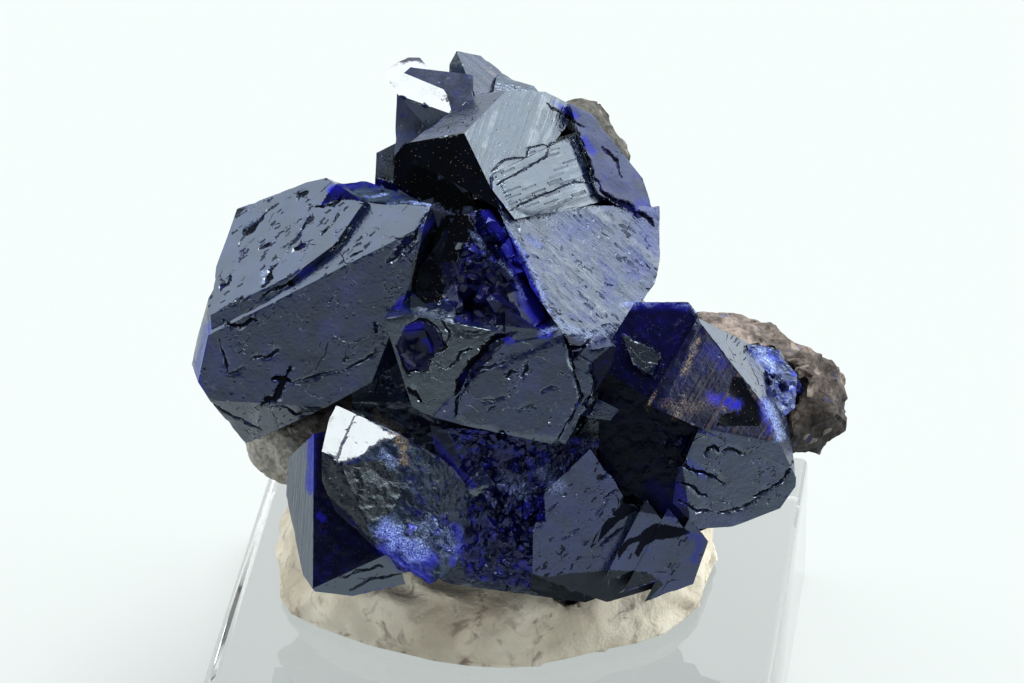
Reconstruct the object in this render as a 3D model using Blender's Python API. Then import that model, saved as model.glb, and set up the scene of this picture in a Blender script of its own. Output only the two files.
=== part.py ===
"""Azurite specimen: dark blue crystals on brown matrix, set in mineral tack on a clear square block.

Metres, +Z up. The origin is the centre of the block's underside, and the front of the specimen
faces -Y. Four pieces: azurite_cluster, matrix_rock, mineral_tack and acrylic_base.

Every azurite crystal is a convex solid bounded by flat facets. A facet is written as
(bearing, lift, distance): its outward normal turns from the front (-Y) towards +X by the bearing
and rises from the horizontal by the lift, both in degrees, and it lies at the distance, in mm,
from the crystal's centre.
"""

import math
import random

import bmesh
import bpy
from mathutils import Matrix, Vector, noise

MM = 0.001
GAP = 0.3 * MM
GOLDEN_ANGLE = math.pi * (3 - math.sqrt(5))

BASE_SIDE = 25.4 * MM
BASE_HEIGHT = 6.35 * MM
BASE_BEVEL = 0.35 * MM
BASE_BEVEL_STEPS = 2

TACK_CENTRE = Vector((-0.9, 0.2)) * MM
TACK_HALF_WIDTH = 10.3 * MM
TACK_HALF_DEPTH = 9.3 * MM
TACK_HEIGHT = 5.6 * MM
TACK_BULGE = 0.7 * MM
TACK_FOLD = 3.5 * MM

ROUGH_BLOCK = 60 * MM

CRYSTALS = {
    "left_block": (
        (-8.5, -1.1, 20.5),
        {"top": (-36, 53, 4.9), "front": (-2, 21, 5.55), "left": (-73, 16, 5.8),
         "under": (-1, -32, 6.55), "left_2": (-99, 8, 4.4), "head": (-145, 46, 4.7),
         "head_right": (-169, 47, 4.45), "crest": (-102, 80, 5.55), "lip": (143, 38, 4.9),
         "heel": (-70, -30, 6.25), "far_left": (-107, 13, 3.65), "low_left_2": (-88, -13, 5.75),
         "right": (64, -9, 5.55), "far_right": (83, -8, 4.65), "bottom": (65, -54, 3.65),
         "back": (-170, 5, 5.95), "foot": (-178, -48, 4.95)},
    ),
    "left_plate": (
        (-6.5, -1.5, 22.5),
        {"top": (-35, 53, 4.2), "front": (-2, 21, 4.4), "step": (51, 3, 1.5),
         "step_2": (32, -12, 1.65), "left": (-101, 4, 5.85), "lower_left": (-93, -8, 6.05),
         "head": (-152, 43, 3.8), "head_right": (-168, 42, 3.25), "crest": (132, 56, 3.0),
         "back": (-170, 5, 3.6), "under": (10, -70, 2.9)},
    ),
    "crown": (
        (-1.1, 1.3, 28.3),
        {"black": (2, 34, 3.0), "stripe": (-73, 80, 1.55), "right": (63, 42, 1.2),
         "left": (-120, 23, 1.65), "lower_left": (-110, 1, 2.6), "head": (-118, 27, 1.65),
         "head_right": (-163, 56, 1.8), "crest": (151, 50, 2.8), "bottom": (135, -85, 1.55),
         "under_left": (115, -77, 1.2), "under_right": (-46, -50, 2.8)},
    ),
    "crown_plate": (
        (1.4, 1.2, 25.0),
        {"right": (63, 42, 1.85), "left": (-64, -33, 1.6), "low_edge": (31, -61, 0.45),
         "high_edge": (-130, 68, 2.5), "left_2": (89, 33, 2.3), "back": (-170, 20, 2.95),
         "left_edge": (-73, 15, 3.65)},
    ),
    "crown_shoulder": (
        (3.7, 4.1, 24.3),
        {"right": (63, 42, 2.15), "low_edge": (-23, -42, 1.25), "left": (-62, -2, 1.45),
         "crest": (151, 50, 2.7), "right_2": (126, 30, 1.45), "far_right": (111, 9, 1.6),
         "back": (-170, 20, 1.65), "under": (180, -60, 4.9)},
    ),
    "saddle": (
        (3.1, -1.4, 22.4),
        {"face": (58, 46, 1.8), "left": (-80, -27, 1.25), "lower_left": (-76, -36, 1.05),
         "bottom": (-6, -68, 2.35), "bottom_right": (80, -38, 2.65), "low_right": (100, -7, 3.65),
         "base_right": (95, -16, 3.35), "top": (-149, 33, 2.65), "back": (-170, 0, 4.55)},
    ),
    "drusy_slope": (
        (-1.3, -3.1, 24.2),
        {"face": (-15, 31, 1.5), "window": (42, 42, 2.0), "right": (110, 24, 1.6),
         "head_left": (-93, 21, 2.2), "head": (-159, 44, 1.55), "lower_left": (-100, 31, 1.8),
         "bottom": (139, -77, 1.6)},
    ),
    "centre": (
        (0.8, -5.5, 20.6),
        {"front": (3, 20, 2.65), "head_left": (-89, 44, 1.45), "head": (-119, 77, 1.55),
         "under_left": (-113, -76, 1.7), "under_right": (-120, -79, 1.6),
         "right": (96, -33, 2.65), "far_right": (113, 9, 1.8), "low_right": (109, 13, 2.05),
         "back": (-170, 0, 3.35)},
    ),
    "centre_left": (
        (-1.6, -5.2, 21.2),
        {"front": (3, 20, 2.75), "head": (-119, 78, 2.35), "head_right": (112, 80, 1.8),
         "lower_left": (-82, -32, 2.8), "low_left": (-93, -22, 2.1), "bottom": (-93, -63, 2.15),
         "under_left": (-113, -76, 1.75), "right": (84, -23, 2.1), "back": (-170, 0, 3.2)},
    ),
    "centre_shoulder": (
        (2.2, -5.6, 21.0),
        {"front": (3, 20, 2.1), "head": (123, 56, 1.05), "head_right": (132, 47, 0.65),
         "right": (110, 5, 1.45), "right_2": (99, -27, 1.9), "bottom": (-96, -85, 2.6),
         "left": (-80, 0, 1.9), "back": (-170, 0, 3.1)},
    ),
    "centre_step": (
        (3.1, -5.2, 20.1),
        {"front": (3, 20, 2.45), "head": (-150, 70, 1.1), "right": (100, -14, 1.4),
         "right_2": (97, -31, 0.95), "bottom": (-96, -85, 2.0), "left": (-80, 0, 1.75),
         "back": (-170, 0, 3.1)},
    ),
    "centre_chip": (
        (4.4, -6.5, 19.4),
        {"front": (10, 23, 0.8), "head": (150, 45, -0.15), "right": (86, -38, 1.1),
         "bottom": (-39, -78, 0.65), "left": (-80, 0, 0.95)},
    ),
    "grey_shelf": (
        (-0.5, -4.8, 21.8),
        {"front": (3, 36, 2.15), "head": (-143, 70, 0.7), "right": (108, 9, 1.25),
         "bottom": (71, -56, 0.45), "bottom_left": (34, -70, 0.45), "left": (-92, -2, 1.7),
         "back": (-170, 0, 2.7)},
    ),
    "grey_chip": (
        (-3.0, -4.8, 22.7),
        {"front": (2, 33, 1.8), "head": (-168, 77, 0.75), "right": (110, 2, 0.1),
         "bottom": (79, -49, 0.2), "bottom_left": (-3, -72, 0.45), "left": (-93, 0, 0.7)},
    ),
    "right": (
        (10.2, -5.2, 19.2),
        {"trans": (27, 35, 1.55), "lower": (20, 16, 2.15), "rim": (82, 43, 1.5),
         "right": (89, 27, 1.7), "head_left": (-110, 15, 2.2), "lower_left": (-51, -59, 1.5),
         "upper_right": (157, 50, 2.55), "far_right": (107, -6, 2.9), "back": (-170, 0, 2.65)},
    ),
    "right_lower": (
        (10.9, -6.1, 17.0),
        {"trans": (27, 35, 1.8), "lower": (20, 16, 1.7), "right": (89, 27, 2.05),
         "left": (-106, 16, 1.55), "lower_left": (-102, 1, 1.9), "low_left": (-82, -43, 3.05),
         "far_right": (107, -6, 2.25), "low_right": (97, -38, 2.6), "bottom": (97, -75, 2.35),
         "under_left": (-53, -87, 2.6), "head": (-171, 43, 1.15), "back": (-170, 0, 3.05)},
    ),
    "right_upper": (
        (6.9, -4.0, 20.1),
        {"upper": (1, 36, 2.5), "head": (-175, 42, 1.65), "head_right": (118, 20, 2.1),
         "right": (69, -23, 1.4), "left": (-109, 21, 1.7), "lower_left": (-57, -56, 1.15),
         "upper_left": (-106, 18, 1.75), "back": (-170, 0, 3.05)},
    ),
    "right_chip": (
        (6.5, -4.6, 21.0),
        {"front": (8, 35, 1.7), "head": (138, 52, 0.05), "right": (92, -27, 0.5),
         "bottom": (-60, -55, 0.55), "left": (-82, -25, 0.45), "back": (-170, 0, 2.05)},
    ),
    "right_root": (
        (8.3, -3.5, 17.0),
        {"front": (5, 24, 1.8), "head": (-162, 41, 3.3), "head_right": (149, 34, 3.0),
         "right": (118, 1, 2.7), "bottom": (77, -66, 4.2), "lower_left": (-76, -57, 3.45),
         "left": (-80, 0, 4.05), "back": (-170, 0, 3.4)},
    ),
    "right_spur": (
        (12.0, -2.8, 18.8),
        {"front": (36, 36, 1.35), "head": (179, 53, 1.2), "bottom": (128, 32, 0.8),
         "right": (101, -8, 0.95), "bottom_2": (81, -55, 1.2), "left": (-78, -14, 0.65),
         "back": (-170, 0, 2.85)},
    ),
    "lower_left_blade": (
        (-6.3, -9.1, 14.4),
        {"left": (-58, 13, 2.2), "front": (5, 28, 1.95), "under": (22, -10, 3.15),
         "left_2": (-92, 1, 2.85), "lower_left": (-81, -16, 2.55), "low_left": (-63, -35, 3.35),
         "bottom": (-40, -71, 3.3), "under_left": (50, -76, 3.35), "head": (-158, 40, 2.7),
         "right": (120, 15, 0.8), "back": (-170, 0, 3.3)},
    ),
    "lower_left": (
        (-3.9, -9.0, 15.7),
        {"mirror": (16, 54, 2.3), "rippled": (-13, 19, 2.95), "front": (27, 34, 1.65),
         "ridge": (49, 28, 2.0), "left": (-99, 14, 3.75), "lower_left": (-100, -6, 2.7),
         "low_left": (-89, -29, 2.3), "lower_left_2": (-75, -52, 1.95),
         "foot_left": (-73, -54, 2.0), "foot_right": (71, -61, 3.9), "right": (136, 23, 1.95),
         "head": (156, 35, 1.4), "right_heel": (106, -25, 2.9), "back": (-170, 0, 3.25)},
    ),
    "lower_right": (
        (5.4, -7.2, 13.4),
        {"front": (16, 12, 2.0), "right": (29, 8, 1.95), "left": (-105, 9, 2.5),
         "lower_left": (-98, -2, 2.8), "head": (-125, 30, 2.25), "head_right": (127, 25, 0.9),
         "right_2": (166, 47, 0.5), "far_right": (97, -27, 3.75), "bottom": (54, -79, 2.8),
         "under_left": (-74, -65, 2.6), "back": (-170, 0, 3.05)},
    ),
    "blade_a": (
        (6.5, -8.3, 13.8),
        {"front": (26, 9, 0.9), "left": (-108, 19, 0.0), "right": (127, 31, 1.05),
         "far_right": (101, -20, 0.95), "bottom": (73, -75, 1.5), "back": (-170, 0, 1.85)},
    ),
    "blade_b": (
        (7.5, -8.0, 13.2),
        {"front": (26, 9, 0.85), "left": (-109, 19, 0.05), "right": (127, 31, 1.05),
         "far_right": (100, -20, 0.9), "bottom": (73, -75, 1.5), "back": (-170, 0, 1.9)},
    ),
    "blade_c": (
        (8.4, -7.6, 12.6),
        {"front": (26, 9, 0.9), "left": (-109, 19, 0.0), "right": (127, 31, 1.05),
         "far_right": (100, -20, 1.0), "bottom": (72, -75, 1.55), "back": (-170, 0, 1.85)},
    ),
    "lower_gap": (
        (1.0, -6.9, 14.7),
        {"front": (10, 17, 1.75), "head": (-177, 41, 1.55), "right": (107, -22, 2.2),
         "left": (-95, -16, 2.4), "bottom": (-83, -79, 3.3), "back": (-170, 0, 2.85)},
    ),
    "back_mirror": (
        (-4.3, 2.7, 29.3),
        {"mirror": (29, 63, 1.3), "front": (0, 18, 2.05), "left": (-108, 31, 1.85),
         "head": (-127, 41, 1.75), "head_2": (-168, 50, 1.6), "crest": (122, 20, 0.55),
         "lower_left": (-78, -43, 0.4), "right": (109, 0, 0.7)},
    ),
    "back_stem": (
        (-3.5, 1.8, 26.5),
        {"front": (2, 31, 1.9), "left": (-96, -5, 1.6), "head": (-125, 35, 3.65),
         "head_right": (175, 49, 3.5), "right": (110, -8, 0.9), "back": (-170, 0, 4.15),
         "bottom": (0, -80, 3.85)},
    ),
    "back_tip": (
        (-1.5, 5.5, 29.2),
        {"front": (50, 50, 0.65), "front_left": (-42, 15, 2.05), "head": (178, 52, 0.6),
         "head_right": (142, 36, 0.1), "head_left": (-110, 25, 1.75), "left": (-98, -3, 1.8),
         "bottom": (-9, -75, 0.8), "back": (-170, 0, 2.6)},
    ),
    "back_spur": (
        (-0.0, 4.4, 28.9),
        {"front": (38, 67, 0.3), "head": (161, 45, 0.4), "right": (122, 22, 0.5),
         "left": (-91, 0, 1.3), "bottom": (-11, -77, 0.45)},
    ),
    "back_left": (
        (-5.6, 1.4, 25.2),
        {"front": (-15, 25, 1.15), "left": (-92, -1, 0.7), "head": (-136, 48, 1.6),
         "right": (107, -5, 0.25), "back": (-170, 0, 2.4), "bottom": (0, -80, 2.25)},
    ),
    "core": (
        (1.4, -2.5, 17.9),
        {"front": (8, 25, 2.65), "upper_front": (8, 34, 2.5), "right": (121, 5, 3.85),
         "bottom": (-118, -81, 6.85), "under_left": (116, -71, 7.35),
         "under_right": (-103, -71, 7.1), "left": (-111, -8, 6.65), "head_right": (129, 16, 3.3),
         "back": (180, 0, 6.6), "top": (0, 80, 6.5), "lower_left": (-90, 0, 7.85)},
    ),
}

# Crusts of small crystals: centre (mm), facing (bearing, lift), spread (mm), count, sizes (mm).
CRUSTS = {
    "slope_crust": ((-0.4, -4.6, 24.8), (-18, 34), 1.5, 14, (0.35, 0.6)),
    "slope_foot": ((-1.2, -6.5, 23.0), (0, 30), 1.6, 12, (0.35, 0.65)),
    "gap_crust": ((0.5, -8.2, 16.4), (10, 25), 1.7, 14, (0.35, 0.6)),
    "gap_foot": ((1.4, -8.8, 13.8), (10, 5), 1.5, 9, (0.4, 0.7)),
    "powder_foot": ((-2.7, -11.2, 14.2), (10, 15), 1.3, 10, (0.3, 0.5)),
    "spur_crust": ((12.3, -3.5, 19.3), (50, 40), 1.0, 8, (0.35, 0.6)),
    "under_crust": ((3.6, -7.6, 11.2), (10, -30), 2.4, 12, (0.5, 0.9)),
    "recess_crust": ((7.1, -5.5, 15.8), (-10, 20), 1.6, 10, (0.35, 0.6)),
}

# One small crystal of a crust, as shares of its size, and how unevenly a crust is sown.
CRUST_SIDES = (4, 5, 6)
CRUST_LEAN = (0.1, 0.5)
CRUST_WIDTH = (0.45, 0.8)
CRUST_HEIGHT = (0.8, 1.2)
CRUST_ROOT = 1.6
CRUST_HEAD_TILT = 0.7
CRUST_AXIS_TILT = 0.7
CRUST_SCATTER = 0.3

# Hollows cut into the crystals: centre (mm) and a blunt solid's half sizes (mm).
HOLLOWS = {
    "eye": ((-3.3, -8.0, 22.2), (0.95, 0.7, 1.15)),
    "dark_pit": ((-5.0, -7.6, 19.4), (0.9, 0.8, 0.6)),
}

# Lumps of the matrix: centre (mm), half sizes (mm), and the number of corners of the hull.
ROCK_LUMPS = {
    "body": ((0.0, 3.4, 15.6), (6.4, 4.6, 5.8), 30),
    "shoulder": ((0.4, 5.0, 19.4), (4.5, 4.2, 4.4), 26),
    "crest": ((1.8, 6.4, 24.5), (2.9, 2.7, 3.4), 22),
    "back_left": ((-4.4, 5.2, 15.8), (4.2, 3.2, 4.8), 24),
    "back_ledge": ((2.4, 7.0, 14.2), (4.0, 2.6, 3.6), 20),
    "root": ((5.0, 1.6, 14.8), (4.3, 4.1, 3.8), 26),
    "arm": ((8.5, 0.3, 17.3), (3.6, 3.0, 2.7), 36),
    "wrist": ((11.1, -0.7, 17.7), (2.7, 2.5, 2.4), 36),
    "knob": ((12.8, -1.6, 17.0), (2.7, 2.2, 2.4), 44),
    "left_foot": ((-8.2, -0.8, 13.4), (4.5, 3.1, 2.7), 30),
    "left_root": ((-4.6, 1.6, 14.4), (4.4, 3.8, 4.2), 26),
}
ROCK_CHIPPING = 0.09
ROCK_SPLITS = 2
ROCK_ROUGHNESS = 0.4 * MM
ROCK_GRAIN = 2.0 * MM
RIDGE_FINENESS = 2.3
RIDGE_SHARE = 0.6
RIDGE_LEVEL = 0.3


def clear_scene():
    for obj in list(bpy.data.objects):
        bpy.data.objects.remove(obj, do_unlink=True)


def facing(bearing, lift):
    """Unit vector at this bearing from the front and this lift above the horizontal, in degrees."""
    turn, rise = math.radians(bearing), math.radians(lift)
    return Vector((math.sin(turn) * math.cos(rise), -math.cos(turn) * math.cos(rise), math.sin(rise)))


def principled(name, color, roughness, transmission=0.0, ior=1.5):
    material = bpy.data.materials.new(name)
    material.use_nodes = True
    shader = material.node_tree.nodes["Principled BSDF"]
    shader.inputs["Base Color"].default_value = (*color, 1.0)
    shader.inputs["Roughness"].default_value = roughness
    shader.inputs["Transmission Weight"].default_value = transmission
    shader.inputs["IOR"].default_value = ior
    material.diffuse_color = (*color, 1.0)
    return material


def add_object(name, bm, material=None):
    """Turns the bmesh into a named object in the scene."""
    mesh = bpy.data.meshes.new(name)
    bm.to_mesh(mesh)
    bm.free()
    obj = bpy.data.objects.new(name, mesh)
    bpy.context.scene.collection.objects.link(obj)
    if material:
        mesh.materials.append(material)
    return obj


def make_cutter(obj):
    obj.hide_render = True
    obj.display_type = "WIRE"
    return obj


def cut_by_facets(centre, facets, grow=0.0):
    """A block at the centre, cut flat by every facet; grow moves the facets outwards."""
    bm = bmesh.new()
    bmesh.ops.create_cube(bm, size=ROUGH_BLOCK, matrix=Matrix.Translation(centre))
    for bearing, lift, distance in facets:
        normal = facing(bearing, lift)
        cut = bmesh.ops.bisect_plane(
            bm,
            geom=bm.verts[:] + bm.edges[:] + bm.faces[:],
            plane_co=centre + normal * (distance * MM + grow),
            plane_no=normal,
            clear_outer=True,
        )
        rim = [item for item in cut["geom_cut"] if isinstance(item, bmesh.types.BMEdge)]
        if rim:
            bmesh.ops.contextual_create(bm, geom=rim)
    bmesh.ops.recalc_face_normals(bm, faces=bm.faces)
    return bm


def crust_facets(rng, axis, size):
    """Facets of one small crystal: a ring of steep sides round the axis and a blunt head."""
    across = axis.orthogonal().normalized()
    facets = []
    sides = rng.choice(CRUST_SIDES)
    turn = rng.uniform(0, math.tau)
    for k in range(sides):
        side = across.copy()
        side.rotate(Matrix.Rotation(turn + math.tau * k / sides, 3, axis))
        leaning = side + axis * rng.uniform(*CRUST_LEAN)
        facets.append((leaning, size * rng.uniform(*CRUST_WIDTH)))
    head = axis + across * rng.uniform(-CRUST_HEAD_TILT, CRUST_HEAD_TILT)
    facets.append((head, size * rng.uniform(*CRUST_HEIGHT)))
    facets.append((-axis, size * CRUST_ROOT))
    return facets


def bearing_of(normal):
    """(bearing, lift) in degrees of a direction: the inverse of facing()."""
    unit = normal.normalized()
    return math.degrees(math.atan2(unit.x, -unit.y)), math.degrees(math.asin(unit.z))


def crust_crystals(name, grow):
    """Small crystals scattered over a disc and sunk into the face behind it."""
    centre, direction, spread, count, sizes = CRUSTS[name]
    rng = random.Random(name)
    normal = facing(*direction)
    across = normal.orthogonal().normalized()
    along = normal.cross(across)
    made = []
    for k in range(count):
        reach = spread * math.sqrt((k + 0.5) / count)
        angle = k * GOLDEN_ANGLE + rng.uniform(-CRUST_SCATTER, CRUST_SCATTER)
        spot = Vector(centre) + (across * math.cos(angle) + along * math.sin(angle)) * reach
        tilt = Vector([rng.uniform(-CRUST_AXIS_TILT, CRUST_AXIS_TILT) for _ in range(3)])
        axis = (normal + tilt).normalized()
        size = rng.uniform(*sizes)
        facets = [(*bearing_of(side), distance) for side, distance in crust_facets(rng, axis, size)]
        bm = cut_by_facets(spot * MM, facets, grow)
        made.append(add_object(f"{name}_{k}", bm))
    return made


def joined(name, pieces, material=None, operation="UNION", solver="EXACT"):
    """The first piece with the others joined to it, or cut from it, as one mesh."""
    group = bpy.data.collections.new(name + "_pieces")
    for piece in pieces[1:]:
        group.objects.link(make_cutter(piece))
    body = pieces[0]
    boolean = body.modifiers.new("join", "BOOLEAN")
    boolean.operand_type = "COLLECTION"
    boolean.collection = group
    boolean.operation = operation
    boolean.solver = solver
    graph = bpy.context.evaluated_depsgraph_get()
    mesh = bpy.data.meshes.new_from_object(body.evaluated_get(graph))
    for piece in pieces:
        bpy.data.objects.remove(piece, do_unlink=True)
    bpy.data.collections.remove(group)
    mesh.name = name
    mesh.materials.clear()
    if material:
        mesh.materials.append(material)
    result = bpy.data.objects.new(name, mesh)
    bpy.context.scene.collection.objects.link(result)
    return result


def cluster_solid(name, material=None, grow=0.0):
    """All the azurite: the large crystals and the crusts joined, then the hollows cut."""
    pieces = []
    for crystal, (centre, facets) in CRYSTALS.items():
        bm = cut_by_facets(Vector(centre) * MM, facets.values(), grow)
        pieces.append(add_object(crystal, bm))
    for crust in CRUSTS:
        pieces.extend(crust_crystals(crust, grow))
    cluster = joined(name, pieces, material)
    if grow:
        return cluster
    return joined(name, [cluster] + [hollow_solid(h) for h in HOLLOWS], material, "DIFFERENCE")


def hollow_solid(name):
    """A blunt eight-sided stone shape, used to cut a hollow."""
    centre, half = HOLLOWS[name]
    bm = bmesh.new()
    bmesh.ops.create_icosphere(bm, subdivisions=1, radius=1.0)
    bmesh.ops.scale(bm, vec=Vector(half) * MM, verts=bm.verts)
    bmesh.ops.translate(bm, vec=Vector(centre) * MM, verts=bm.verts)
    return add_object(name, bm)


def uneven(point, grain):
    """Broken-rock relief between about -1 and 1: broad waves with sharp ridges on them."""
    broad = noise.noise(point / grain)
    ridges = 1 - 2 * abs(noise.noise(point / grain * RIDGE_FINENESS))
    return broad + RIDGE_SHARE * ridges - RIDGE_LEVEL


def lump(name, centre, radii, corners, grow=0.0):
    """A broken lump: the hull of points near an ellipsoid, its faces split and roughened."""
    rng = random.Random(name)
    bm = bmesh.new()
    for k in range(corners):
        height = 1 - 2 * (k + 0.5) / corners
        ring = math.sqrt(1 - height * height)
        angle = k * GOLDEN_ANGLE
        reach = rng.uniform(1 - ROCK_CHIPPING, 1 + ROCK_CHIPPING)
        bm.verts.new(Vector((ring * math.cos(angle), ring * math.sin(angle), height)) * reach)
    hull = bmesh.ops.convex_hull(bm, input=bm.verts)
    inside = [item for item in hull["geom_interior"] if isinstance(item, bmesh.types.BMVert)]
    bmesh.ops.delete(bm, geom=inside, context="VERTS")
    bmesh.ops.subdivide_edges(bm, edges=bm.edges, cuts=ROCK_SPLITS, use_grid_fill=True)
    bmesh.ops.triangulate(bm, faces=bm.faces)
    bmesh.ops.scale(bm, vec=Vector(radii) * MM, verts=bm.verts)
    bmesh.ops.translate(bm, vec=Vector(centre) * MM, verts=bm.verts)
    bmesh.ops.recalc_face_normals(bm, faces=bm.faces)
    bm.normal_update()
    shifts = [uneven(vert.co, ROCK_GRAIN) * ROCK_ROUGHNESS + grow for vert in bm.verts]
    for vert, shift in zip(bm.verts, shifts):
        vert.co += vert.normal * shift
    return add_object(name, bm)


def rock_lumps(grow):
    return [lump(name, *shape, grow) for name, shape in ROCK_LUMPS.items()]


def duplicate(obj):
    copy = bpy.data.objects.new(obj.name + "_copy", obj.data.copy())
    bpy.context.scene.collection.objects.link(copy)
    return copy


def rock(material, cluster_room):
    """The matrix behind and under the crystals, held clear of them by the gap."""
    whole = joined("matrix_lumps", rock_lumps(0.0))
    return joined("matrix_rock", [whole, duplicate(cluster_room)], material, "DIFFERENCE")


def tack(material, cluster_room):
    """The pressed mound of tack, flat on the block, with the specimen sunk into it."""
    bm = bmesh.new()
    bmesh.ops.create_icosphere(bm, subdivisions=4, radius=1.0)
    floor = BASE_HEIGHT + GAP
    bmesh.ops.scale(bm, vec=(TACK_HALF_WIDTH, TACK_HALF_DEPTH, TACK_HEIGHT), verts=bm.verts)
    bmesh.ops.translate(bm, vec=(*TACK_CENTRE, floor), verts=bm.verts)
    for vert in bm.verts:
        press = noise.noise(vert.co / TACK_FOLD) * TACK_BULGE
        vert.co += vert.normal * press
    cut = bmesh.ops.bisect_plane(
        bm,
        geom=bm.verts[:] + bm.edges[:] + bm.faces[:],
        plane_co=(0, 0, floor),
        plane_no=(0, 0, -1),
        clear_outer=True,
    )
    rim = [item for item in cut["geom_cut"] if isinstance(item, bmesh.types.BMEdge)]
    bmesh.ops.contextual_create(bm, geom=rim)
    mound = add_object("mound", bm)
    rock_room = joined("rock_room", rock_lumps(GAP))
    pieces = [mound, rock_room, duplicate(cluster_room)]
    return joined("mineral_tack", pieces, material, "DIFFERENCE", "MANIFOLD")


def base(material):
    """The polished clear block with its small bevel on every edge."""
    bm = bmesh.new()
    bmesh.ops.create_cube(bm, size=1.0)
    bmesh.ops.scale(bm, vec=(BASE_SIDE, BASE_SIDE, BASE_HEIGHT), verts=bm.verts)
    bmesh.ops.translate(bm, vec=(0, 0, BASE_HEIGHT / 2), verts=bm.verts)
    block = add_object("acrylic_base", bm, material)
    bevel = block.modifiers.new("polished_edges", "BEVEL")
    bevel.width = BASE_BEVEL
    bevel.segments = BASE_BEVEL_STEPS
    return block


def main():
    clear_scene()
    azurite = principled("azurite", (0.012, 0.014, 0.09), 0.12, ior=1.78)
    brown_rock = principled("brown_rock", (0.16, 0.12, 0.10), 0.85)
    cream_tack = principled("cream_tack", (0.68, 0.62, 0.52), 0.6)
    clear_acrylic = principled("clear_acrylic", (0.86, 0.9, 0.9), 0.05, transmission=1.0, ior=1.49)
    cluster_solid("azurite_cluster", azurite)
    cluster_room = make_cutter(cluster_solid("cluster_room", grow=GAP))
    rock(brown_rock, cluster_room)
    tack(cream_tack, cluster_room)
    base(clear_acrylic)
    bpy.data.objects.remove(cluster_room, do_unlink=True)


main()
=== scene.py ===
"""The looks of an azurite specimen: dark blue crystals on brown rock, pressed into mineral tack on a
clear square block. Laid out as an add-on: one operator a piece, and a panel that lists them."""

import math

import bmesh
import bpy
import numpy as np
from bpy.props import FloatProperty, FloatVectorProperty, PointerProperty
from mathutils import Matrix, Vector
from mathutils.bvhtree import BVHTree


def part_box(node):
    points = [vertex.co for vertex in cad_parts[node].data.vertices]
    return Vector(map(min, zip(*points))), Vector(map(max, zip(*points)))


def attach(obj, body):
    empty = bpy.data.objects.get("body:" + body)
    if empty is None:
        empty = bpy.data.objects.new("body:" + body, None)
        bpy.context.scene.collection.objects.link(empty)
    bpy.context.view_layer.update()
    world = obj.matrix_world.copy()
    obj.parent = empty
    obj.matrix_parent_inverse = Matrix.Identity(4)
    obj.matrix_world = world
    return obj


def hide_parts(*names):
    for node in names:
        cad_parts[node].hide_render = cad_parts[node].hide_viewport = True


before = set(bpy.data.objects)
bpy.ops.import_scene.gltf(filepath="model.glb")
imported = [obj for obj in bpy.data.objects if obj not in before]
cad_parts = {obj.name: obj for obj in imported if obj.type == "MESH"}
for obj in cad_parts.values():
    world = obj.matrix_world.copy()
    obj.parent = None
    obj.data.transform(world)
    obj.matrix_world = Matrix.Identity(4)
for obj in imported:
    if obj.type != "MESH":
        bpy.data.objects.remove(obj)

bl_info = {
    "name": "Azurite Specimen",
    "version": (1, 0, 0),
    "blender": (4, 5, 0),
    "location": "3D View > Sidebar > Specimen",
    "description": "Builds the azurite, its rock, its tack and its clear block round the solids",
    "category": "Object",
}

# Lengths are in mm here, and in metres in the scene.
MM = 0.001

# The view: its size in pixels, the lens, the camera's bearing, rise and distance, and the pixel at
# which the middle of the block's top is seen.
VIEW_WIDTH, VIEW_HEIGHT = 1024, 683
LENS, SENSOR = 220.0, 36.0
FOCAL = LENS / SENSOR * VIEW_WIDTH
VIEW_BEARING, VIEW_RISE = math.radians(7.0), math.radians(28.0)
VIEW_DISTANCE = 276.9
VIEW_LEAD = 13.0
BASE_TOP_PIXEL = (513.0, 572.0)
BASE_TOP = 6.35

# Longest mesh side: before the hidden faces are known, on flat facets, and away from the front. Near
# borders and on fine cracks it is a share of what the user asks for.
COARSE_DETAIL = 0.7
SMOOTH_DETAIL = 0.30
HIDDEN_DETAIL = 0.55
BORDER_DETAIL = 0.65
FINE_CRACK_DETAIL = 0.36

# How solids are merged, and how their facets are told apart.
MERGE_DISTANCE = 0.002
FLAT_ANGLE = 0.4  # degrees between faces that are dissolved into one
NORMAL_STEPS, REACH_STEPS = 40, 8  # steps per unit in which planes are grouped
SAME_COSINE, SAME_REACH = 0.9995, 0.05  # how alike the planes of one facet are
SMALL_FACET = 0.5  # mm², under which a facet belongs to a crust of small crystals
LEAST_FACING = 0.04  # cosine under which a face is edge on to the camera
RAY_START, RAY_LIFT = 0.02, 0.01  # where a ray starts: towards the camera, and off the face
EDGE_AGREEMENT, EDGE_GAIN = 0.999, 30  # where normals agree less than this, there is an edge

# Distances in pixels.
FAR = 1e6  # no path is near
PATH_MARGIN = 24
CRACK_MARGIN = 8
CRACK_REACH = 4
CRACK_FAR = 9.0  # stored where no crack is near
CRACK_BORDER = 1.6  # beside a crack, split as finely as the crack
FINE_CRACK, WIDE_CRACK = 1.3, 9.0  # widest cracks that get the finest and the finer mesh
BORDER_REACH = 2.0
WIDEST_DRIFT = 3.0

# A crack's wobble, as a share of its width, its width at the ends, and how much the width varies.
DRIFT_SHARE = 0.4
CRACK_TIP = 0.2
CRACK_WANDER = 0.7

# Carved depths, in mm, and the range that they all stay in.
PIT_DEPTH = 0.035
CREVICE_DEPTH = 0.07
CHIP_DEPTH = 0.07
CARVED_RANGE = (-0.45, 0.35)

# Depths of what the materials add, where the fine grain is 1, and how dark the painted shade in hairline cracks
# is.
CRACK_DEPTH, NICK_DEPTH, HAIR_DEPTH = 2.0, 2.0, 1.2
HAIR_SHADE = 0.9
HAIR_BEND = 0.4

# ---- The finishes, and the facets and outlines that have them.

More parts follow.
